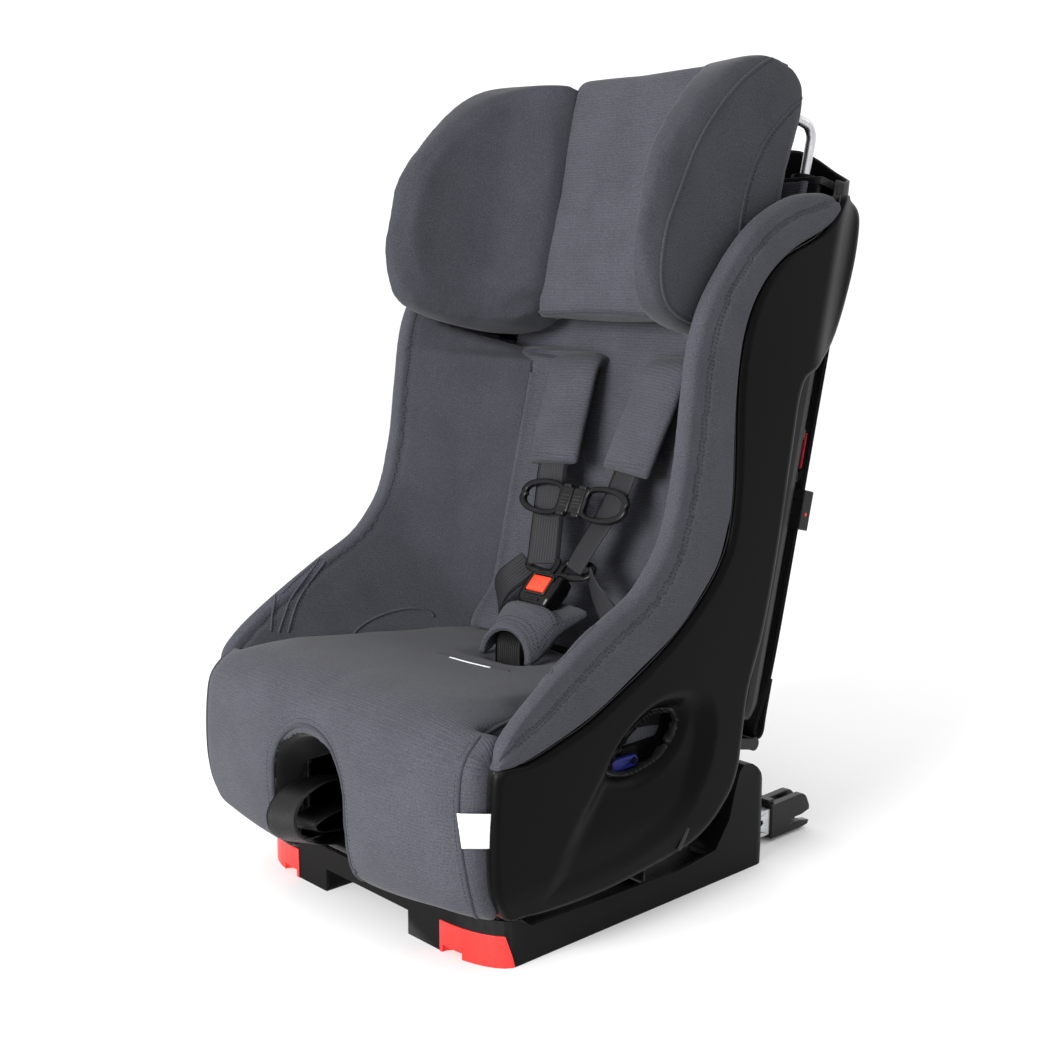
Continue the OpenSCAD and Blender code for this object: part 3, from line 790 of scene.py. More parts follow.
def shell_cover():
    """The moulded cover behind the shell: turned-in sides, a hood, pressed ribs and harness slots."""
    half = np.array([0, 20, 40, 60, 68, 76, 96, 120, 140, 152, 156, 176, 184, 189, 193, 196.5, 199])
    drop = np.array([0, 0, 0, 0, 0, 0, 0, 0, 0, 0, 0, 0.6, 2.5, 6, 12, 20, 31])
    x = np.concatenate([-half[:0:-1], half])
    fine_x = np.interp(np.linspace(0, len(x) - 1, 6 * len(x)), np.arange(len(x)), x)
    heights = np.concatenate(
        [np.arange(22, 380, 4), np.arange(380, 420, 1.6), np.arange(420, 520, 4), np.linspace(520, 600, 26)]
    )
    # the hood's top edge: a level middle, steep shoulders, and low ends beside the bolsters
    top = np.interp(
        np.abs(fine_x), [0, 80, 104, 118, 130, 142, 154, 166, 178, 190, 199],
        [603, 602, 600, 598, 594, 588, 581, 574, 568, 562, 554]
    )
    grid = []
    for z in heights:
        zz = np.minimum(z, 20 + (z - 20) / 580 * (top - 20))
        depth = back_depth(zz) - np.interp(np.abs(fine_x), half, drop) * (back_depth(zz) - 6) / 34
        # stiffening ribs pressed into the lower cover, and the two harness slots
        groove = smoothstep((zz - 60) / 14) * smoothstep((330 - zz) / 14)
        for centre in (-110, -66, -22, 22, 66, 110):
            depth -= 3.0 * groove * smoothstep(1 - np.abs(fine_x - centre) / 12)
        hole = (np.abs(np.abs(fine_x) - 68) < 26) & (np.abs(zz - 361) < 14)
        depth = np.where(hole, depth - 9, depth)
        grid.append([lean(a, b, c) for a, b, c in zip(fine_x, depth, zz)])
    obj = loft("shell_cover", grid, SHELL, closed=False, caps=False)
    face_towards(obj, BACK)
    modify(obj, "SOLIDIFY", thickness=0.0028, offset=-1)
    place(smooth_shaded(obj), "shell", ["shell_back"], "shell_plastic")


def finish_node(name, mat, bevel):
    """A CAD node that stays: its material, and edges softened by bevel millimetres."""
    obj = frame["nodes"][name]
    obj.data.materials.clear()
    obj.data.materials.append(mat)
    for poly in obj.data.polygons:
        poly.material_index = 0
    weld = obj.modifiers.new("Weld", "WELD")
    weld.merge_threshold = 0.00002
    edge = obj.modifiers.new("Bevel", "BEVEL")
    edge.width = bevel * MM
    edge.segments = 2
    edge.limit_method = "ANGLE"
    edge.angle_limit = math.radians(40)
    edge.harden_normals = False
    smooth = obj.modifiers.new("Weighted", "WEIGHTED_NORMAL")
    smooth.keep_sharp = True


# ---------------------------------------------------------------- soft goods
def bolster(name):
    """The padded side: inner face from the back pad to a rolled rim, then down to the shell's edge."""
    rows = 250
    columns = np.array([[*r, *e, *i] for r, e, i in BOLSTER_TABLE], float)
    fine = spline(columns, 8)
    reach = lengths(fine[:, :2])
    at = np.linspace(0, reach[-1], rows)
    rim, edge, root = (
        np.stack([np.interp(at, reach, fine[:, k]) for k in ks], 1)
        for ks in ((0, 1), (2, 3), (4, 5, 6))
    )
    # beside the headrest the inner face runs back to the flat part of the back pad
    root = root + 32 * smoothstep((unlean(root * MM)[:, 2] - 350) / 14)[:, None] * np.array(BACK)
    grid = []
    seams = {"outer": [], "outer_far": [], "inner": []}
    for i in range(rows):
        tip = np.array([206.0 + 3 * smoothstep((300 - rim[i, 1]) / 60), *rim[i]])
        end = np.array([207.0, *edge[i]])
        gap_line = (end - tip) * [0, 1, 1]
        gap_len = np.linalg.norm(gap_line)
        down = gap_line / max(gap_len, 1e-6)
        roll = min(10.0, 0.3 * gap_len + 1.0)
        inner = tip + down * roll + np.array([-roll, 0, 0])
        wall = root[i] - inner
        wall_len = np.linalg.norm(wall)
        # from the root over the inner face and the roll, then out and back to the shell's edge
        front = [
            root[i],
            inner + wall * 0.62 + np.array([4 * smoothstep(wall_len / 120), 0, 0]),
            inner + wall * 0.28 + np.array([2.5 * smoothstep(wall_len / 120), 0, 0]),
            inner,
            tip + down * roll * 0.3 + np.array([-0.72 * roll, 0, 0]),
            tip,
            tip + down * roll * 0.3 + np.array([0.66 * roll, 0, 0]),
            tip * [0, 1, 1] + down * roll * 1.1 + np.array([214.4, 0, 0]),
            tip * [0, 1, 1] + down * gap_len * 0.62 + np.array([214.2, 0, 0]),
            tip * [0, 1, 1] + down * gap_len * 0.9 + np.array([212.2, 0, 0]),
            end,
        ]
        curve = resample(front, 72, 6)
        c = lengths(curve)
        peak = c[np.argmin(np.linalg.norm(curve - tip, axis=1))]
        tangent = np.gradient(curve, axis=0)
        tangent /= np.linalg.norm(tangent, axis=1)[:, None] + 1e-9
        along = np.array([0, *(rim[min(i + 1, rows - 1)] - rim[max(i - 1, 0)])])
        normal = np.cross(along, tangent)
        normal /= np.linalg.norm(normal, axis=1)[:, None] + 1e-9
        if normal[np.argmin(np.abs(c - peak))] @ down > 0:
            normal = -normal
        # grooves where the rim's band is sewn to the faces, with the panels swelling between them
        outer_at, inner_at = peak + min(27.0, 0.5 * gap_len), peak - 17
        dent = 1.5 * np.exp(-(((c - outer_at) / 1.8) ** 2)) + 0.9 * np.exp(-(((c - inner_at) / 1.6) ** 2))
        swell = 1.4 * smoothstep((c - outer_at) / 8) * smoothstep((c[-1] - c) / 8)
        curve = curve + normal * (swell - dent)[:, None]
        for key, where in (
            ("outer", outer_at - 2.8), ("outer_far", outer_at + 2.8), ("inner", inner_at + 3.0)
        ):
            k = np.interp(where, c, np.arange(len(c)))
            a, b = int(k), min(int(k) + 1, len(c) - 1)
            seams[key].append(curve[a] * (1 - k + a) + curve[b] * (k - a) + normal[a] * 0.2)
        back = [
            end - np.array([5.5, 0, 0]), np.array([192, *(0.4 * rim[i] + 0.6 * edge[i])]),
            root[i] + np.array([3, 5, -1])
        ]
        grid.append(np.vstack([curve, resample(back, 14, 4)]))
    # the shoulder under the headrest is drawn out smoothly, not row by row
    grid = np.array(grid)
    drawn = np.array([beside_headrest(ring) for ring in grid])[:, :, 0] - grid[:, :, 0]
    soft = drawn.copy()
    for _ in range(3):
        soft[1:-1] = (soft[:-2] + 2 * soft[1:-1] + soft[2:]) / 4
        soft[:, 1:-1] = (soft[:, :-2] + 2 * soft[:, 1:-1] + soft[:, 2:]) / 4
    grid[:, :, 0] += np.maximum(drawn, soft)
    obj = loft(name, list(grid * MM), KNIT_SIDE)
    co = points_of(obj)
    # cloth coordinates: round the seat and up it, so that ribs lie level
    set_uv(obj, np.column_stack([round_seat(co), co[:, 2] * 0.9 + co[:, 1] * 0.25]))
    threads = []
    for key, first, last in (("outer", 9, -6), ("outer_far", 9, -6), ("inner", 20, -50)):
        line = beside_headrest(np.array(seams[key])[first:last]) * MM
        threads.append(stitches(key, resample(line, 400, 0), THREAD))
    threads += gusset(obj)
    return obj, threads


def beside_headrest(points):
    """Clears the room that the headrest slides in: above its lowest place the padding stays at the side."""
    leaned = unlean(points * MM)
    floor_x = 118 + 70.3 * smoothstep((leaned[:, 2] - 360) / 13)
    out = points.copy()
    out[:, 0] = np.maximum(points[:, 0], floor_x)
    return out


def gusset(obj):
    """The welts at the foot of the bolster: three pleats that fan out, and the half-moon patch."""
    pleats = [
        [(202, -92, 305), (201, -124, 284), (200, -145, 262), (199, -155, 232)],
        [(198, -86, 300), (197, -112, 279), (196, -130, 260), (195, -147, 230)],
        [(195, -84, 296), (194, -106, 276), (193, -122, 258), (192, -137, 229)],
    ]
    welts = []
    for line in pleats:
        path = resample(np.array(line, float), 24, 6) * MM
        laid = np.array([first_hit(obj, q, (-1, 0, 0.2)) for q in path])
        welts.append(tube("pleat", resample(laid, 50, 2), 1.3 * MM, KNIT_SIDE, 7))
        behind = laid + np.array([0, 0.0045, 0.001])
        laid = np.array([first_hit(obj, q, (-1, 0, 0.2)) for q in behind])
        welts.append(stitches("pleat_stitch", resample(laid, 50, 2), THREAD))
    a = np.linspace(0.0, 1.0, 30) * math.pi
    moon = np.column_stack(
        [np.full(30, 158.0), -21 - 50 * np.cos(a), 219 - 6 * np.cos(a) + 19 * np.sin(a)]
    ) * MM
    laid = np.array([first_hit(obj, q, (-1, 0, 0.2)) for q in moon])
    welts.append(tube("moon", resample(laid, 60, 2), 1.5 * MM, KNIT_SIDE, 8))
    return welts


def round_seat(co):
    """A coordinate that runs round the seat in plan, in metres."""
    return np.hypot(co[:, 0], co[:, 1] - 0.1) * 0.6 + np.arctan2(co[:, 0], 0.3 - co[:, 1]) * 0.12


def bolsters():
    right, threads = bolster("bolster_cover_right")
    right = join("bolster_cover_right", [right] + threads)
    left = mirror_object(right, "bolster_cover_left")
    place(right, "shell", ["bolster_right"], "knit_dark", 0.5)
    place(left, "shell", ["bolster_left"], "knit_dark", 0.5)


def back_pad():
    """The pad behind the child, hollowed across, with a slit for each harness strap."""
    xs = np.linspace(-127, 127, 150)
    zs = np.linspace(52, 545, 200)
    grid = []
    for z in zs:
        # hollowed across below the headrest, flat where the headrest slides
        hollow = 31 - 27 * smoothstep((z - 360) / 13)
        wide = 1 + 0.46 * smoothstep((z - 336) / 11)
        depth = -14 - hollow * np.minimum(np.abs(xs) * wide / 127, 1) ** 2.2
        crown = 3.5 * np.cos(xs / 127 * math.pi / 2) ** 0.5 + 4.5 * np.exp(
            -(((np.abs(xs) - 124) / 3.5) ** 2)
        )
        depth = depth - crown * 0.6
        lower = smoothstep((110 - z) / 55)
        depth = depth - 22 * lower
        slit = np.exp(-(((z - 361) / 3.6) ** 4)) * np.exp(-(((np.abs(xs) - 68) / 25.5) ** 10))
        depth = depth + 10 * slit
        grid.append([lean(x * wide, d, z) for x, d in zip(xs, depth)])
    obj = loft("back_pad_cover", grid, KNIT, closed=False, caps=False)
    face_towards(obj, -BACK)
    modify(obj, "SOLIDIFY", thickness=0.004, offset=-1)
    co = unlean(points_of(obj)) * MM
    set_uv(obj, co[:, [0, 2]])
    place(smooth_shaded(obj), "shell", ["back_pad"], "knit_grey", 0.3)


def cushion_shape(co):
    """Rounds the seat cushion's plan: the middle of its front stands proud and its corners turn back."""
    co = co.copy()
    x = np.abs(co[:, 0]) / CUSHION_SIDE
    front = smoothstep((-0.12 - co[:, 1]) / 0.09)
    co[:, 1] += front * (0.015 * x**2.4 + 0.008 * smoothstep((x - 0.86) / 0.14)) + 0.0015 * front
    top = smoothstep((co[:, 2] - 0.19) / 0.04)
    co[:, 2] -= top * (0.004 * smoothstep((x - 0.55) / 0.45) + 0.009)
    hips = top * smoothstep((co[:, 1] + 0.12) / 0.1)
    co[:, 2] += hips * 0.006 * x**2
    # the hem stands clear of the base, most of all at its ends
    co[:, 2] += smoothstep((0.10 - co[:, 2]) / 0.05) * (0.008 + 0.005 * smoothstep((x - 0.4) / 0.6))
    co[:, 0] *= 0.992
    return co


def seat_cushion():
    """The cushion and its front apron, with the adjuster's arch and the painted shade inside it, piping, side
    seams and the slit with its painted highlight.
    """
    obj = copy_nodes("seat_cushion_cover", ["seat_cushion"], KNIT)
    puff(obj, 4.6, 9, 2.2, 5.0, cushion_shape)
    co = points_of(obj)
    # ribs follow the cushion round its front, so V is measured along its profile
    profile = np.array(
        [
            (-0.216, 0.046), (-0.246, 0.10), (-0.252, 0.15), (-0.25, 0.2), (-0.236, 0.229), (-0.205, 0.241),
            (-0.15, 0.24), (0.1, 0.21)
        ]
    )
    profile = resample(profile, 60, 6)
    s = lengths(profile)
    along = np.zeros(len(co))
    best = np.full(len(co), 1e9)
    for k, (a, b) in enumerate(zip(profile[:-1], profile[1:])):
        d = b - a
        t = np.clip(((co[:, 1:] - a) @ d) / (d @ d), 0, 1)
        far = np.linalg.norm(co[:, 1:] - (a + t[:, None] * d), axis=1)
        closer = far < best
        best[closer] = far[closer]
        along[closer] = (s[k] + t * np.linalg.norm(d))[closer]
    set_uv(obj, np.column_stack([co[:, 0], along]))
    # painted shade: the faces inside the arch are coloured near black
    obj.data.materials.append(ARCH_SHADE)
    for poly in obj.data.polygons:
        c = poly.center
        in_arch = math.hypot(c.x, max(c.z - 0.138, 0)) < 0.0555 and -0.253 < c.y < -0.13
        if in_arch and poly.normal.y > -0.86:
            poly.material_index = 1
    trims = []
    arch_y, spring, reach = -0.29, 0.138, 0.0535
    a = np.linspace(0, math.pi, 40)

    def arch_line(grow):
        """The arch's outline, grown outwards, laid on the front of the cushion."""
        r = reach + grow
        line = [(-r, arch_y, z) for z in np.linspace(0.052, spring, 18)[:-1]]
        line += [(-r * math.cos(t), arch_y, spring + r * math.sin(t)) for t in a]
        line += [(r, arch_y, z) for z in np.linspace(spring, 0.052, 18)[1:]]
        return resample(draped(obj, line, 0.0, (0, 1, 0)), 160, 2)

    trims.append(tube("welt", arch_line(0.0035), 2.1 * MM, KNIT_DARK, 9))
    trims.append(stitches("arch_stitch", arch_line(0.0095), THREAD, radius=0.34))
    # the seam between the front panel and each side panel, from under the bolster to the bottom hem
    side_line = [
        (196, -150, 243), (196, -176, 239), (197, -197, 235), (198, -215, 226), (199, -229, 214),
        (199, -236, 197),
        (199, -238, 165), (197, -232, 128), (196, -222, 88), (195, -212, 56),
    ]
    for sign in (1, -1):
        for inset, made in ((0.0, "welt"), (-5.0, "stitch")):
            path = np.array([((x + inset) * sign, y, z) for x, y, z in side_line], float) * MM
            out = [(sign * 0.10, y + 0.14, z - 0.15) for _, y, z in resample(path, 70, 6)]
            laid = np.array([first_hit(obj, q, o) for q, o in zip(resample(path, 70, 6), out)])
            laid = evened_line(laid, 3)
            if made == "welt":
                trims.append(tube("side_welt", resample(laid, 120, 2), 1.7 * MM, KNIT_DARK, 8))
            else:
                trims.append(stitches("side_stitch", resample(laid, 120, 2), THREAD, radius=0.34))
    # a painted highlight: a thin white strip laid in the slit in the cushion
    slit = draped(
        obj, resample([(-0.008, -0.0715, 0.3), (0.019, -0.0705, 0.3), (0.046, -0.0665, 0.3)], 16, 4),
        0.0003, (0, 0, -1)
    )
    trims.append(ribbon("slit", slit, (0, 1, 0), 0.0026, 0.0006, TAG_AND_SLIT_HIGHLIGHT))
    lip = draped(
        obj, resample([(-0.032, -0.0685, 0.3), (0.019, -0.0665, 0.3), (0.066, -0.060, 0.3)], 24, 4),
        -0.0004, (0, 0, -1)
    )
    trims.append(tube("slit_lip", lip, 1.5 * MM, KNIT_DARK, 7))
    obj = join("seat_cushion_cover", [obj] + trims)
    place(obj, "shell", ["seat_cushion"], "knit_grey", 0.7)


def evened_line(points, times):
    """A line with its kinks averaged out, its ends kept."""
    for _ in range(times):
        points = np.vstack([points[:1], (points[:-2] + 2 * points[1:-1] + points[2:]) / 4, points[-1:]])
    return points


def first_hit(obj, point, direction):
    """Where a piece's surface is, seen from outside along a direction through a point."""
    if obj.name not in TREES:
        TREES[obj.name] = surface(obj)
    tree = TREES[obj.name]
    d = Vector(direction).normalized()
    spot, normal, _, _ = tree.ray_cast(Vector(point) + d * 0.12, -d)
    if spot is None:
        spot, normal, _, _ = tree.find_nearest(Vector(point))
    return np.array(spot)


TREES = {}


def headrest():
    """The headrest's centre pad between its two wings, each with its piping and seams."""

    def centre_shape(co):
        local = unlean(co) * MM
        # the pad's sides run on behind the wings, so that they meet in a crease
        x = local[:, 0] * 1.10
        dive = 0.016 * smoothstep((np.abs(local[:, 0]) - 0.082) / 0.018)
        return leans(np.column_stack([x, local[:, 1] + dive, local[:, 2]]) / MM)

    centre = copy_nodes("headrest_pad_cover", ["headrest_pad"], KNIT)
    puff(centre, 4.2, 6, 2.0, 3.5, centre_shape)
    co = unlean(points_of(centre)) * MM
    set_uv(centre, co[:, [0, 2]])
    hem_line = [(-99, -74, 400), (-60, -82, 397), (0, -84, 396), (60, -82, 397), (99, -74, 400)]
    hem = draped(centre, resample(leans(hem_line), 50, 4), 0.0)
    centre = join("headrest_pad_cover", [centre, tube("hem", hem, 1.8 * MM, KNIT_DARK, 8)])
    place(centre, "headrest", ["headrest_pad"], "knit_grey", 0.6)

    def wing_shape(co):
        local = unlean(co)
        x, y, z = local.T
        # fuller above and in front, drawn in over the centre pad's side
        high = smoothstep((z - 455) / 70)
        ahead = smoothstep((-60 - y) / 60)
        y = y - 7 * high * ahead
        z = z + 4 * smoothstep((z - 560) / 60) * ahead
        x = x - 9 * (
            1 - smoothstep((x - 98) / 34)
        ) * smoothstep((z - 400) / 25) * smoothstep((-62 - y) / 25)
        # the lower edge sweeps down from the centre pad's hem
        z = z + (
            17 * (1 - smoothstep((x - 84) / 38)) - 5 * smoothstep((x - 112) / 40)
        ) * (1 - smoothstep((z - 384) / 40))
        return leans(np.column_stack([x, y, z]))

    right = copy_nodes("wing_right", ["headrest_wing_right"], KNIT_DARK)
    puff(right, 4.4, 8, 2.4, 4.5, wing_shape)
    co = unlean(points_of(right)) * MM
    set_uv(right, np.column_stack([np.hypot(co[:, 0], co[:, 1]), co[:, 2]]))
    # piping round the outer side of the wing, and the second seam behind it
    piping = [
        (-60, 384), (-120, 379), (-165, 379), (-192, 387), (-206, 409), (-209, 447), (-202, 484),
        (-190, 530), (-165, 577),
        (-136, 611), (-104, 636), (-75, 643),
    ]
    path = leans([(183, y, z) for y, z in resample(piping, 90, 6)])
    laid = evened_line(draped(right, path, 0.0, (-1, 0, 0)), 3)
    second = [
        (-40, 622), (-66, 603), (-92, 572), (-104, 550), (-112, 526), (-115, 501), (-114, 473), (-107, 449),
        (-102, 430)
    ]
    path2 = leans([(183, y, z) for y, z in resample(second, 60, 6)])
    laid2 = evened_line(draped(right, path2, 0.0002, (-1, 0, 0)), 3)
    third = evened_line(draped(right, path2 + np.array(BACK) * 5 * MM, 0.0002, (-1, 0, 0)), 3)
    trims = [tube("piping", resample(laid, 180, 2), 1.6 * MM, KNIT_DARK, 8)]
    trims.append(tube("seam_welt", resample(laid2, 120, 2), 1.1 * MM, KNIT_DARK, 7))
    trims.append(stitches("seam", resample(third, 120, 2), THREAD))
    right = join("wing_cover_right", [right] + trims)
    left = mirror_object(right, "wing_cover_left")
    place(right, "headrest", ["headrest_wing_right"], "knit_dark", 0.65)
    place(left, "headrest", ["headrest_wing_left"], "knit_dark", 0.65)


def headrest_bars():
    """The two steel rods that carry the headrest, bent forward at the top."""
    bend, turn = 14.0, np.linspace(0, math.pi / 2, 12)
    corner = [
        (POST_X, POST_Y - bend + bend * math.cos(a), POST_TOP - bend + bend * math.sin(a))
        for a in turn
    ]
    rods = []
    for sign in (1, -1):
        line = [
            (POST_X, POST_Y, z)
            for z in np.linspace(332, POST_TOP - bend, 8)[:-1]
        ] + corner + [(POST_X, -32, POST_TOP)]
        rods.append(tube("rod", leans(np.array(line) * [sign, 1, 1]), 5.0 * MM, BAR, 20))
    place(join("headrest_rods", rods), "headrest", ["headrest_bar"], "bar_steel")


def pad_loft(name, path, across, width, thick, mat, crown=0.35, ends=5.0):
    """A soft flat sleeve: rounded section, swollen middle, pinched ends."""
    p = np.asarray(path, float)
    a = np.broadcast_to(np.asarray(across, float), p.shape).copy()
    t = np.gradient(p, axis=0)
    t /= np.linalg.norm(t, axis=1)[:, None]
    a -= t * (a * t).sum(1)[:, None]
    a /= np.linalg.norm(a, axis=1)[:, None]
    n = np.cross(a, t)
    s = lengths(p)
    grid = []
    angle = np.linspace(0, 2 * np.pi, 48, endpoint=False)
    for q, aa, nn, d in zip(p, a, n, s):
        close = min(d, s[-1] - d)
        e = math.sqrt(1 - (1 - min(1, close / (ends * MM))) ** 2)
        w = width / 2 * (0.93 + 0.07 * e)
        h = thick / 2 * (0.35 + 0.65 * e)
        # superellipse: flat faces, round sides, a little crown
        c, sn = np.cos(angle), np.sin(angle)
        x = np.sign(c) * np.abs(c) ** 0.55 * w
        y = np.sign(sn) * np.abs(sn) ** 0.75 * h * (1 + crown * (1 - (x / w) ** 2)) / (1 + crown)
        grid.append(q + np.outer(x, aa) + np.outer(y, nn))
    return loft(name, grid, mat)


SHOULDER = [
    (68, 14, 361), (68, -22, 361), (64, -40, 340), (53, -58, 244), (44, -63, 202), (27, -75, 150),
    (22.5, -78.5, 134.5)
]


def harness():
    """Shoulder straps in their pads, and lap straps that run down behind the cushion."""
    path = resample(leans(SHOULDER), 90, 5)
    across = np.array(
        [Vector((1, 0, 0)).lerp(Vector((0.96, -0.22, 0.12)), k) for k in np.linspace(0, 1, 90)]
    )
    right = ribbon("harness_web_right", path, across, 0.038, 0.0018, WEB)
    place(right, "shell", ["harness_strap_right"], "webbing_black")
    place(mirror_object(right, "harness_web_left"), "shell", ["harness_strap_left"], "webbing_black")
    lap = resample(
        leans([(44, -76, 133), (58, -80, 119), (72, -80, 107), (86, -72, 90), (98, -54, 66)]), 40, 4
    )
    webs = ribbon("lap_web_right", lap, np.array(lean(0, -10, 30) - lean(0, 0, 0)), 0.028, 0.0018, WEB)
    place(webs, "shell", ["lap_strap_right"], "webbing_black")
    place(mirror_object(webs, "lap_web_left"), "shell", ["lap_strap_left"], "webbing_black")
    top, run = np.array(SHOULDER[2], float), np.array(SHOULDER[3], float) - np.array(SHOULDER[2], float)
    pad_line = leans(
        [
            (69, -13, 359), (68.5, -27, 357), top + (0.5, 0, 6), top + run * 0.33 + (0, -1.5, 0),
            top + run * 0.66 + (0, -1.5, 0), top + run * 1.04
        ]
    )
    pad_path = resample(pad_line, 70, 5)
    pad = pad_loft("pad", pad_path, (1, -0.05, 0), 0.066, 0.0185, KNIT)
    hem = []
    for back_off in (0.006, 0.010):
        s = lengths(pad_path)
        at = np.stack([np.interp(s[-1] - back_off, s, pad_path[:, k]) for k in range(3)])
        row = [at + np.array([x, -0.03, 0.004]) for x in np.linspace(-0.028, 0.028, 24)]
        hem.append(stitches("hem", draped(pad, row, 0.0002, (0, 1, -0.1)), THREAD, radius=0.3))
    pad = join("shoulder_pad_cover_right", [pad] + hem)
    place(pad, "shell", ["shoulder_pad_right"], "knit_grey", 0.6)
    place(mirror_object(pad, "shoulder_pad_cover_left"), "shell", ["shoulder_pad_left"], "knit_grey", 0.6)


def buckle_matrix():
    """The buckle's own frame: Z towards the tongues, its button facing -Y."""
    base = Matrix.Translation(lean(0, -91, 109))
    return base @ Matrix.Rotation(math.radians(-13.5 - 31.5), 4, "X")


def tapered_block(name, sections, mat, radius=3.0, matrix=None, ring=40, power=0.35):
    """A rounded block through sections: (z, half width, y low, y high), in millimetres."""
    angle = np.linspace(0, 2 * np.pi, ring, endpoint=False)
    c, s = np.cos(angle), np.sin(angle)
    table_z = np.array([q[0] for q in sections], float)
    grid = []
    z_all = np.unique(np.concatenate([np.linspace(table_z[0], table_z[-1], 24), table_z]))
    for z in z_all:
        w, lo, hi = (np.interp(z, table_z, [q[k] for q in sections]) for k in (1, 2, 3))
        end = min(z - table_z[0], table_z[-1] - z)
        shrink = radius * (1 - math.sqrt(max(0, 1 - (1 - min(1, end / radius)) ** 2)))
        x = np.sign(c) * np.abs(c) ** power * (w - shrink)
        y = (lo + hi) / 2 + np.sign(s) * np.abs(s) ** power * ((hi - lo) / 2 - shrink)
        grid.append(np.column_stack([x, y, np.full(ring, z)]) * MM)
    obj = loft(name, grid, mat)
    if matrix is not None:
        obj.data.transform(matrix)
    return obj


def buckle():
    """The buckle's case and press button, and the two tongues latched into its top."""
    m = buckle_matrix()
    body = tapered_block(
        "body", [
            (-24, 19, -7, 9), (-14, 23, -11, 11), (4, 25, -11.5, 11), (14, 24, -10, 10), (18, 21, -7.5, 8)
        ], GLOSS, 4, m
    )
    frame_ring = tube(
        "ring", world([(x, -11.6, z) for x, z in rounded_loop(15.0, 11.6, 3.5, 0)]), 1.1 * MM, GLOSS, 8,
        True
    )
    frame_ring.data.transform(m)
    slot = rounded_box("slot", (-10, -11.4, -18.6), (10, -9.5, -16.6), 0.6, CORE, 2, m)
    grooves = [
        rounded_box(
            "groove", (-17, -11.2 + 0.2 * k, 12 + 1.8 * k), (17, -9.6, 12.8 + 1.8 * k), 0.3, GLOSS, 2, m
        )
        for k in range(2)
    ]
    piece = join("buckle_case", [body, frame_ring, slot] + grooves)
    place(piece, "shell", ["buckle_body"], "gloss_black_plastic")
    button = rounded_box("button", (-12.8, -13.2, -9.2), (12.8, -8.6, 9.2), 1.4, ORANGE, 4, m)
    dots = [rounded_box("rib", (-7, -13.6, z), (7, -12.9, z + 0.9), 0.35, ORANGE, 2, m) for z in (-6, -3.4)]
    place(join("press_button", [button] + dots), "buckle_button", ["buckle_button"], "orange_button")
    n = 56
    outer = [
        (1.4, 10), (14, 9), (20, 15), (32, 17.5), (44, 21), (49.5, 28), (48, 36), (41, 41.5), (24, 42.5),
        (7, 40.5), (1.6, 34), (1.4, 22), (1.4, 10)
    ]
    hole = [
        (9, 25), (14, 24.6), (21, 25), (31, 26), (39.5, 28.2), (42.5, 31.5), (40.5, 35), (35, 36.6),
        (23, 37), (13, 36.2), (8.6, 33.4), (8, 29), (9, 25)
    ]
    outer = resample(outer, n + 1, 6)[:-1]
    hole = resample(hole, n + 1, 6)[:-1]
    for sign, side in ((1, "right"), (-1, "left")):
        plate = plate_with_hole("plate", outer * [sign, 1], hole * [sign, 1], -2.6, 2.6, GLOSS, m, 1.5)
        fix_normals(plate)
        web = rounded_box(
            "web", (min(sign * 3, sign * 20), -3.6, 16), (max(sign * 3, sign * 20), 3.6, 22), 1.4, GLOSS, 3,
            m
        )
        piece = join(f"tongue_{side}", [plate, web])
        place(piece, "shell", ["buckle_tongues"] if sign > 0 else [], "gloss_black_plastic")


def rounded_loop(w, h, r, z0, n=8):
    """A rounded rectangle about (0, z0), half sizes w and h."""
    pts = []
    for cx, cz, a0 in ((w - r, h - r, 0), (-w + r, h - r, 90), (-w + r, -h + r, 180), (w - r, -h + r, 270)):
        for k in range(n):
            a = math.radians(a0 + 90 * k / (n - 1))
            pts.append((cx + r * math.cos(a), z0 + cz + r * math.sin(a)))
    return pts


def plate_with_hole(name, outer, hole, y0, y1, mat, matrix, bevel=0.9):
    """A flat moulded ring between two closed [x, z] outlines with the same number of points."""
    outer, hole = np.array(outer), np.array(hole)
    b = bevel
    centre = outer.mean(0)

    def moved(line, d):
        t = np.roll(line, -1, 0) - np.roll(line, 1, 0)
        t /= np.linalg.norm(t, axis=1)[:, None]
        return line + d * np.column_stack([t[:, 1], -t[:, 0]])

    if np.sum(np.cross(np.roll(outer, -1, 0) - outer, outer - centre)) > 0:
        outer, hole = outer[::-1], hole[::-1]
    rings = []
    for line, d, y in (
        (outer, 0, y1 - b), (outer, 0, y0 + b), (outer, -b * 0.3, y0 + b * 0.3), (outer, -b, y0),
        (hole, b, y0), (hole, b * 0.3, y0 + b * 0.3), (hole, 0, y0 + b), (hole, 0, y1 - b), (hole, b, y1),
        (outer, -b, y1),
    ):
        p = moved(line, d)
        rings.append(np.column_stack([p[:, 0], np.full(len(p), y), p[:, 1]]) * MM)
    rings.append(rings[0])
    obj = loft(name, np.transpose(np.array(rings), (0, 1, 2)), mat, caps=False)
    obj.data.transform(matrix)
    return obj


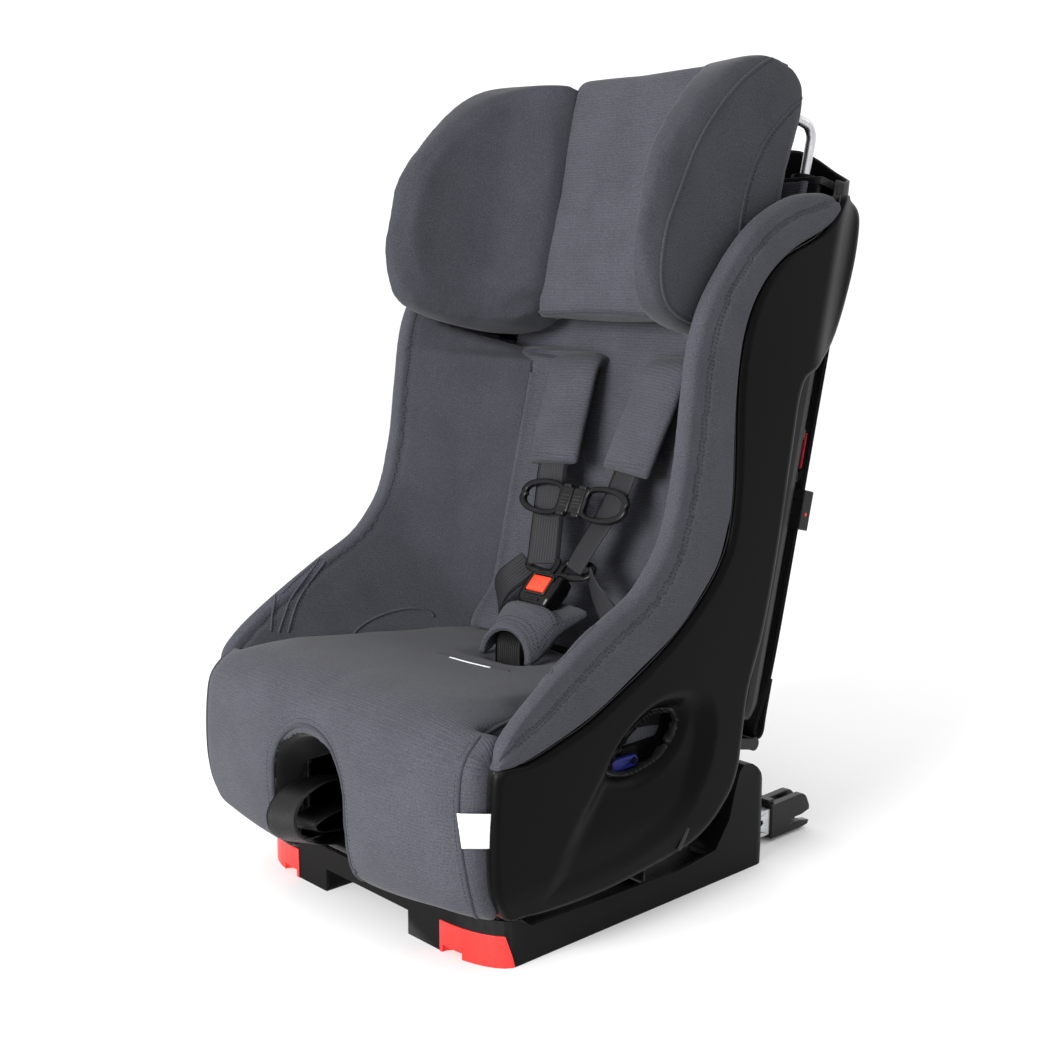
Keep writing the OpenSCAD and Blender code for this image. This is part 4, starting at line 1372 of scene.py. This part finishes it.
def chest_clip():
    """Two framed loops that the straps thread through, latched together at a ribbed middle."""
    m = Matrix.Translation(lean(0, -68, 203)) @ Matrix.Rotation(math.radians(-13.5 - 11), 4, "X")
    n = 72
    outer = [
        (10, 13.5), (17, 15), (26, 18), (40, 19.6), (54, 18.6), (66, 15.6), (74, 10.5), (77.5, 4),
        (76, 0.5), (77.5, -4), (74, -10.5), (66, -15.6), (54, -18.6), (40, -19.6), (26, -18), (17, -15),
        (10, -13.5), (10, 0), (10, 13.5),
    ]
    hole = [
        (21.5, 10.2), (27, 12.6), (38, 13.8), (50, 13), (60, 10.6), (67, 7), (69.5, 3), (67.6, 0),
        (69.5, -3), (67, -7), (60, -10.6), (50, -13), (38, -13.8), (27, -12.6), (21.5, -10.2), (20.5, -5),
        (20.5, 0), (20.5, 5), (21.5, 10.2),
    ]
    outer = resample(outer, n + 1, 6)[:-1]
    hole = resample(hole, n + 1, 6)[:-1]
    for sign, side in ((1, "right"), (-1, "left")):
        ring = plate_with_hole("ring", outer * [sign, 1], hole * [sign, 1], -8.2, -1.2, GLOSS, m, 1.8)
        fix_normals(ring)
        lo, hi = sorted((sign * 0.4, sign * 17.5))
        hub = rounded_box("hub", (lo, -9.6, -14), (hi, 0, 14), 2.2, GLOSS, 4, m)
        ribs = [
            rounded_box("rib", (lo + 3.2, -10.1, z), (hi - 3.2, -9.2, z + 1.1), 0.45, GLOSS, 2, m)
            for z in (-7, -3.4, 0.2, 3.8)
        ]
        mid = sign * 11
        lips = [
            rounded_box("lip", (mid - 5.5, -9.0, z - 2.6), (mid + 5.5, -1.5, z + 2.6), 1.6, GLOSS, 3, m)
            for z in (-14.6, 14.6)
        ]
        piece = join(f"clip_{side}", [ring, hub] + lips + ribs)
        place(piece, "chest_clip", [f"chest_clip_{side}"], "gloss_black_plastic")


def crotch():
    """The strap between the legs in its padded sleeve: an open arch in front, wide and flat behind."""
    line = [(-1, 190), (-1, 220), (0, 232), (6, 242), (18, 250), (34, 258)]
    path = resample([(0, y, z) for y, z in line], 60, 5) * MM
    web = ribbon("crotch_web", path, (1, 0, 0), 0.040, 0.0018, WEB_GLOSS)
    place(web, "shell", ["crotch_strap"], "webbing_black")
    # stations from the front rim to the back: y, foot z, half width, height, wall, squareness
    stations = np.array([
        (-10, 216, 37, 33, 7, 1.0), (-4, 216, 38, 35, 7.5, 0.95), (4, 219, 39, 38, 8, 0.85),
        (14, 226, 40, 38, 8.5, 0.75),
        (25, 236, 42, 31, 9, 0.6), (34, 243, 44, 18, 8, 0.5), (50, 250, 47, 11, 6, 0.45),
        (64, 255, 49, 9, 5, 0.45),
    ])
    rows = 70
    reach = np.linspace(0, 1, rows)
    knots = lengths(stations[:, :1]) / (stations[-1, 0] - stations[0, 0])
    steps = np.stack([np.interp(reach, knots, stations[:, k]) for k in range(6)], 1)
    angle = np.linspace(0, math.pi, 44)
    c, sn = np.cos(angle), np.sin(angle)
    rings = []
    for at, (y, foot, w, h, wall, square) in zip(reach, steps):
        close = min(at, 1 - at) * (stations[-1, 0] - stations[0, 0])
        e = math.sqrt(1 - (1 - min(1, close / 4.0)) ** 2)
        t = wall * (0.03 + 0.97 * e)
        arch = []
        for off in (t / 2, -t / 2):
            wide = (w - wall / 2 + off) * np.sign(c) * np.abs(c) ** square
            high = max(h - wall / 2 + off, 1.5) * sn**square
            arch.append(np.column_stack([-wide, y + 6 * sn * (1 - at), foot + high]))
        rings.append(np.vstack([arch[0], arch[1][::-1]]) * MM)
    pad = loft("sleeve", rings, KNIT, caps=False)
    co = points_of(pad)
    set_uv(pad, np.column_stack([co[:, 0], co[:, 2] * 0.6 + co[:, 1]]))
    up = np.array([0, 0, 0.0004])
    trims = [
        stitches("row", resample(rings[k][3:41] + up, 60, 2), THREAD, radius=0.34)
        for k in (8, 12, 30, 34)
    ]
    for a in (5, 38):
        trims.append(
            stitches("edge", np.array([ring[a] for ring in rings[14:-6]]) + up, THREAD, radius=0.34)
        )
    pad = join("crotch_sleeve", [pad] + trims)
    place(pad, "shell", ["crotch_pad"], "knit_grey", 0.55)


def adjuster():
    """The harness adjuster's loose webbing, folded back on itself in the front arch."""
    line = [
        (2, -158, 122), (2, -182, 131), (-4, -207, 138), (-11, -232, 138), (-17, -252, 128),
        (-20, -262, 110), (-20, -258, 92), (-16, -242, 81), (-10, -218, 78), (-5, -194, 82),
        (0, -172, 90),
    ]
    path = resample(line, 110, 6) * MM
    across = np.array(
        [
            Vector((1, 0.02, 0)).lerp(Vector((0.97, 0.12, 0.22)), math.sin(k * math.pi))
            for k in np.linspace(0, 1, 110)
        ]
    )
    web = ribbon("adjuster_web", path, across, 0.042, 0.0022, WEB_GLOSS)
    under = resample(
        [
            (-1, -172, 112), (-2, -200, 112), (-5, -225, 111), (-9, -243, 104), (-8, -242, 96),
            (-4, -222, 93), (0, -198, 95)
        ],
        60, 5
    ) * MM
    inner = ribbon("inner_web", under, (1, 0.08, 0.12), 0.038, 0.0022, WEB_GLOSS)
    place(join("adjuster_web", [web, inner]), "shell", ["adjuster_strap"], "webbing_black")


def tether():
    """The top tether's webbing down the back, folded up at its lower end."""
    line = [
        (41, 480), (53, 474), (59.5, 420), (60, 330), (60.5, 180), (60, 90), (57, 44), (51, 18), (51, 5),
        (57, 1), (62, 8), (61.5, 24), (61.5, 62)
    ]
    path = resample(leans([(172, y, z) for y, z in line]), 160, 5)
    web = ribbon("tether_web", path, (1, 0, 0), 0.030, 0.0018, WEB_GLOSS)
    place(web, "shell", ["tether_strap"], "webbing_black")


def cover_tag():
    """A blank woven tag caught in the cushion's side seam."""
    rows = []
    for k in np.linspace(0, 1, 14):
        rows.append([
            (
                0.2005 + 0.0006 * j + 0.004 * math.sin(j / 10 * math.pi / 2),
                -0.240 + 0.0033 * j + 0.005 * k,
                0.168 - 0.031 * k - 0.0006 * j,
            )
            for j in range(11)
        ])
    obj = loft("blank_tag", rows, TAG_AND_SLIT_HIGHLIGHT, closed=False, caps=False)
    modify(obj, "SOLIDIFY", thickness=0.0007, offset=1)
    place(obj, "shell", ["cover_tag"], "tag_white")


# ---------------------------------------------------------------- pieces
side_shells()
shell_cover()
bolsters()
back_pad()
seat_cushion()
headrest()
headrest_bars()
harness()
buckle()
chest_clip()
crotch()
adjuster()
tether()
cover_tag()

for name, mat, bevel in (
    ("base_tray", BASE, 1.6), ("corner_foot_left", RED, 1.2), ("corner_foot_right", RED, 1.2),
    ("recline_rails", STEEL, 0.6),
    ("base_screws", STEEL, 0.3), ("latch_arms", STEEL, 1.0), ("latch_jaw_left", GLOSS, 1.0),
    ("latch_jaw_right", GLOSS, 1.0),
    ("latch_hook_left", STEEL, 0.4), ("latch_hook_right", STEEL, 0.4), ("latch_release_left", GLOSS, 0.6),
    ("latch_release_right", GLOSS, 0.6), ("belt_guide_left", GLOSS, 0.5), ("belt_guide_right", GLOSS, 0.5),
    ("belt_lock_left", BLUE, 0.8), ("belt_lock_right", BLUE, 0.8), ("top_shelf", SHELL, 1.2),
    ("seat_pan", CORE, 0.5),
    ("belly_cover", SHELL, 1.0), ("post_tubes", BASE, 0.6), ("back_panel", CORE, 0.5),
    ("adjuster_housing", GLOSS, 1.2),
    ("adjuster_lever", STEEL, 0.6), ("splitter_plate", STEEL, 0.4), ("recline_handle", GLOSS, 1.0),
    ("tether_bar", GLOSS, 1.0),
    ("tether_adjuster", GLOSS, 1.2), ("tether_lever", TETHER_RED, 1.0), ("tether_hook", STEEL, 0.6),
    ("tether_gate", TETHER_RED, 0.6),
    ("headrest_frame", CORE, 1.0), ("headrest_release", GLOSS, 1.0),
):
    finish_node(name, mat, bevel)


# ---------------------------------------------------------------- studio and camera
CAMERA_SPOT, CAMERA_AZIMUTH, CAMERA_PITCH, CAMERA_LENS = (1.0734, -0.976, 0.600), 47.3, 9.56, 51.37
SKY = 1.14  # strength of the white surroundings
# name, place, aim, size in metres, watts
LIGHTS = [
    ("key", (0.3, -2.7, 1.0), (0, 0, 0.4), (1.3, 1.1), 135),
    ("fill", (2.6, -1.0, 1.4), (0, 0, 0.35), (0.9, 0.9), 2),
    ("rim", (1.2, 2.2, 1.8), (0, 0, 0.5), (1.2, 1.2), 5),
]


def camera():
    """The photograph's view: from the seat's front right, a little above the harness."""
    data = bpy.data.cameras.new("camera")
    cam = bpy.data.objects.new("camera", data)
    bpy.context.scene.collection.objects.link(cam)
    data.sensor_width = 36
    data.lens = CAMERA_LENS
    data.clip_start, data.clip_end = 0.05, 50
    a, e = math.radians(CAMERA_AZIMUTH), math.radians(CAMERA_PITCH)
    back = Vector((math.sin(a) * math.cos(e), -math.cos(a) * math.cos(e), math.sin(e)))
    cam.location = CAMERA_SPOT
    cam.rotation_mode = "QUATERNION"
    cam.rotation_quaternion = (-back).to_track_quat("-Z", "Y")
    bpy.context.scene.camera = cam


def area_light(name, spot, target, size, power):
    data = bpy.data.lights.new(name, "AREA")
    data.shape = "RECTANGLE"
    data.size, data.size_y = size
    data.energy = power
    light = bpy.data.objects.new(name, data)
    bpy.context.scene.collection.objects.link(light)
    light.location = spot
    light.rotation_mode = "QUATERNION"
    light.rotation_quaternion = (Vector(target) - Vector(spot)).to_track_quat("-Z", "Y")


def studio():
    world_data = bpy.data.worlds.new("studio")
    bpy.context.scene.world = world_data
    world_data.use_nodes = True
    world_data.node_tree.nodes["Background"].inputs["Color"].default_value = (1, 1, 1, 1)
    world_data.node_tree.nodes["Background"].inputs["Strength"].default_value = SKY
    mat, tree, shader = material("studio_floor", (0.88, 0.88, 0.88), 0.9, specular=0.0)
    tone = blend_colors(tree, noise(tree, 3, 2), (0.87, 0.87, 0.87), (0.89, 0.89, 0.89))
    tree.links.new(tone, shader.inputs["Base Color"])
    floor = add_mesh("floor", [(-30, -30, 0), (30, -30, 0), (30, 30, 0), (-30, 30, 0)], [(0, 1, 2, 3)], mat)
    for light in LIGHTS:
        area_light(*light)
    bpy.context.scene.view_settings.view_transform = "Standard"


camera()
studio()
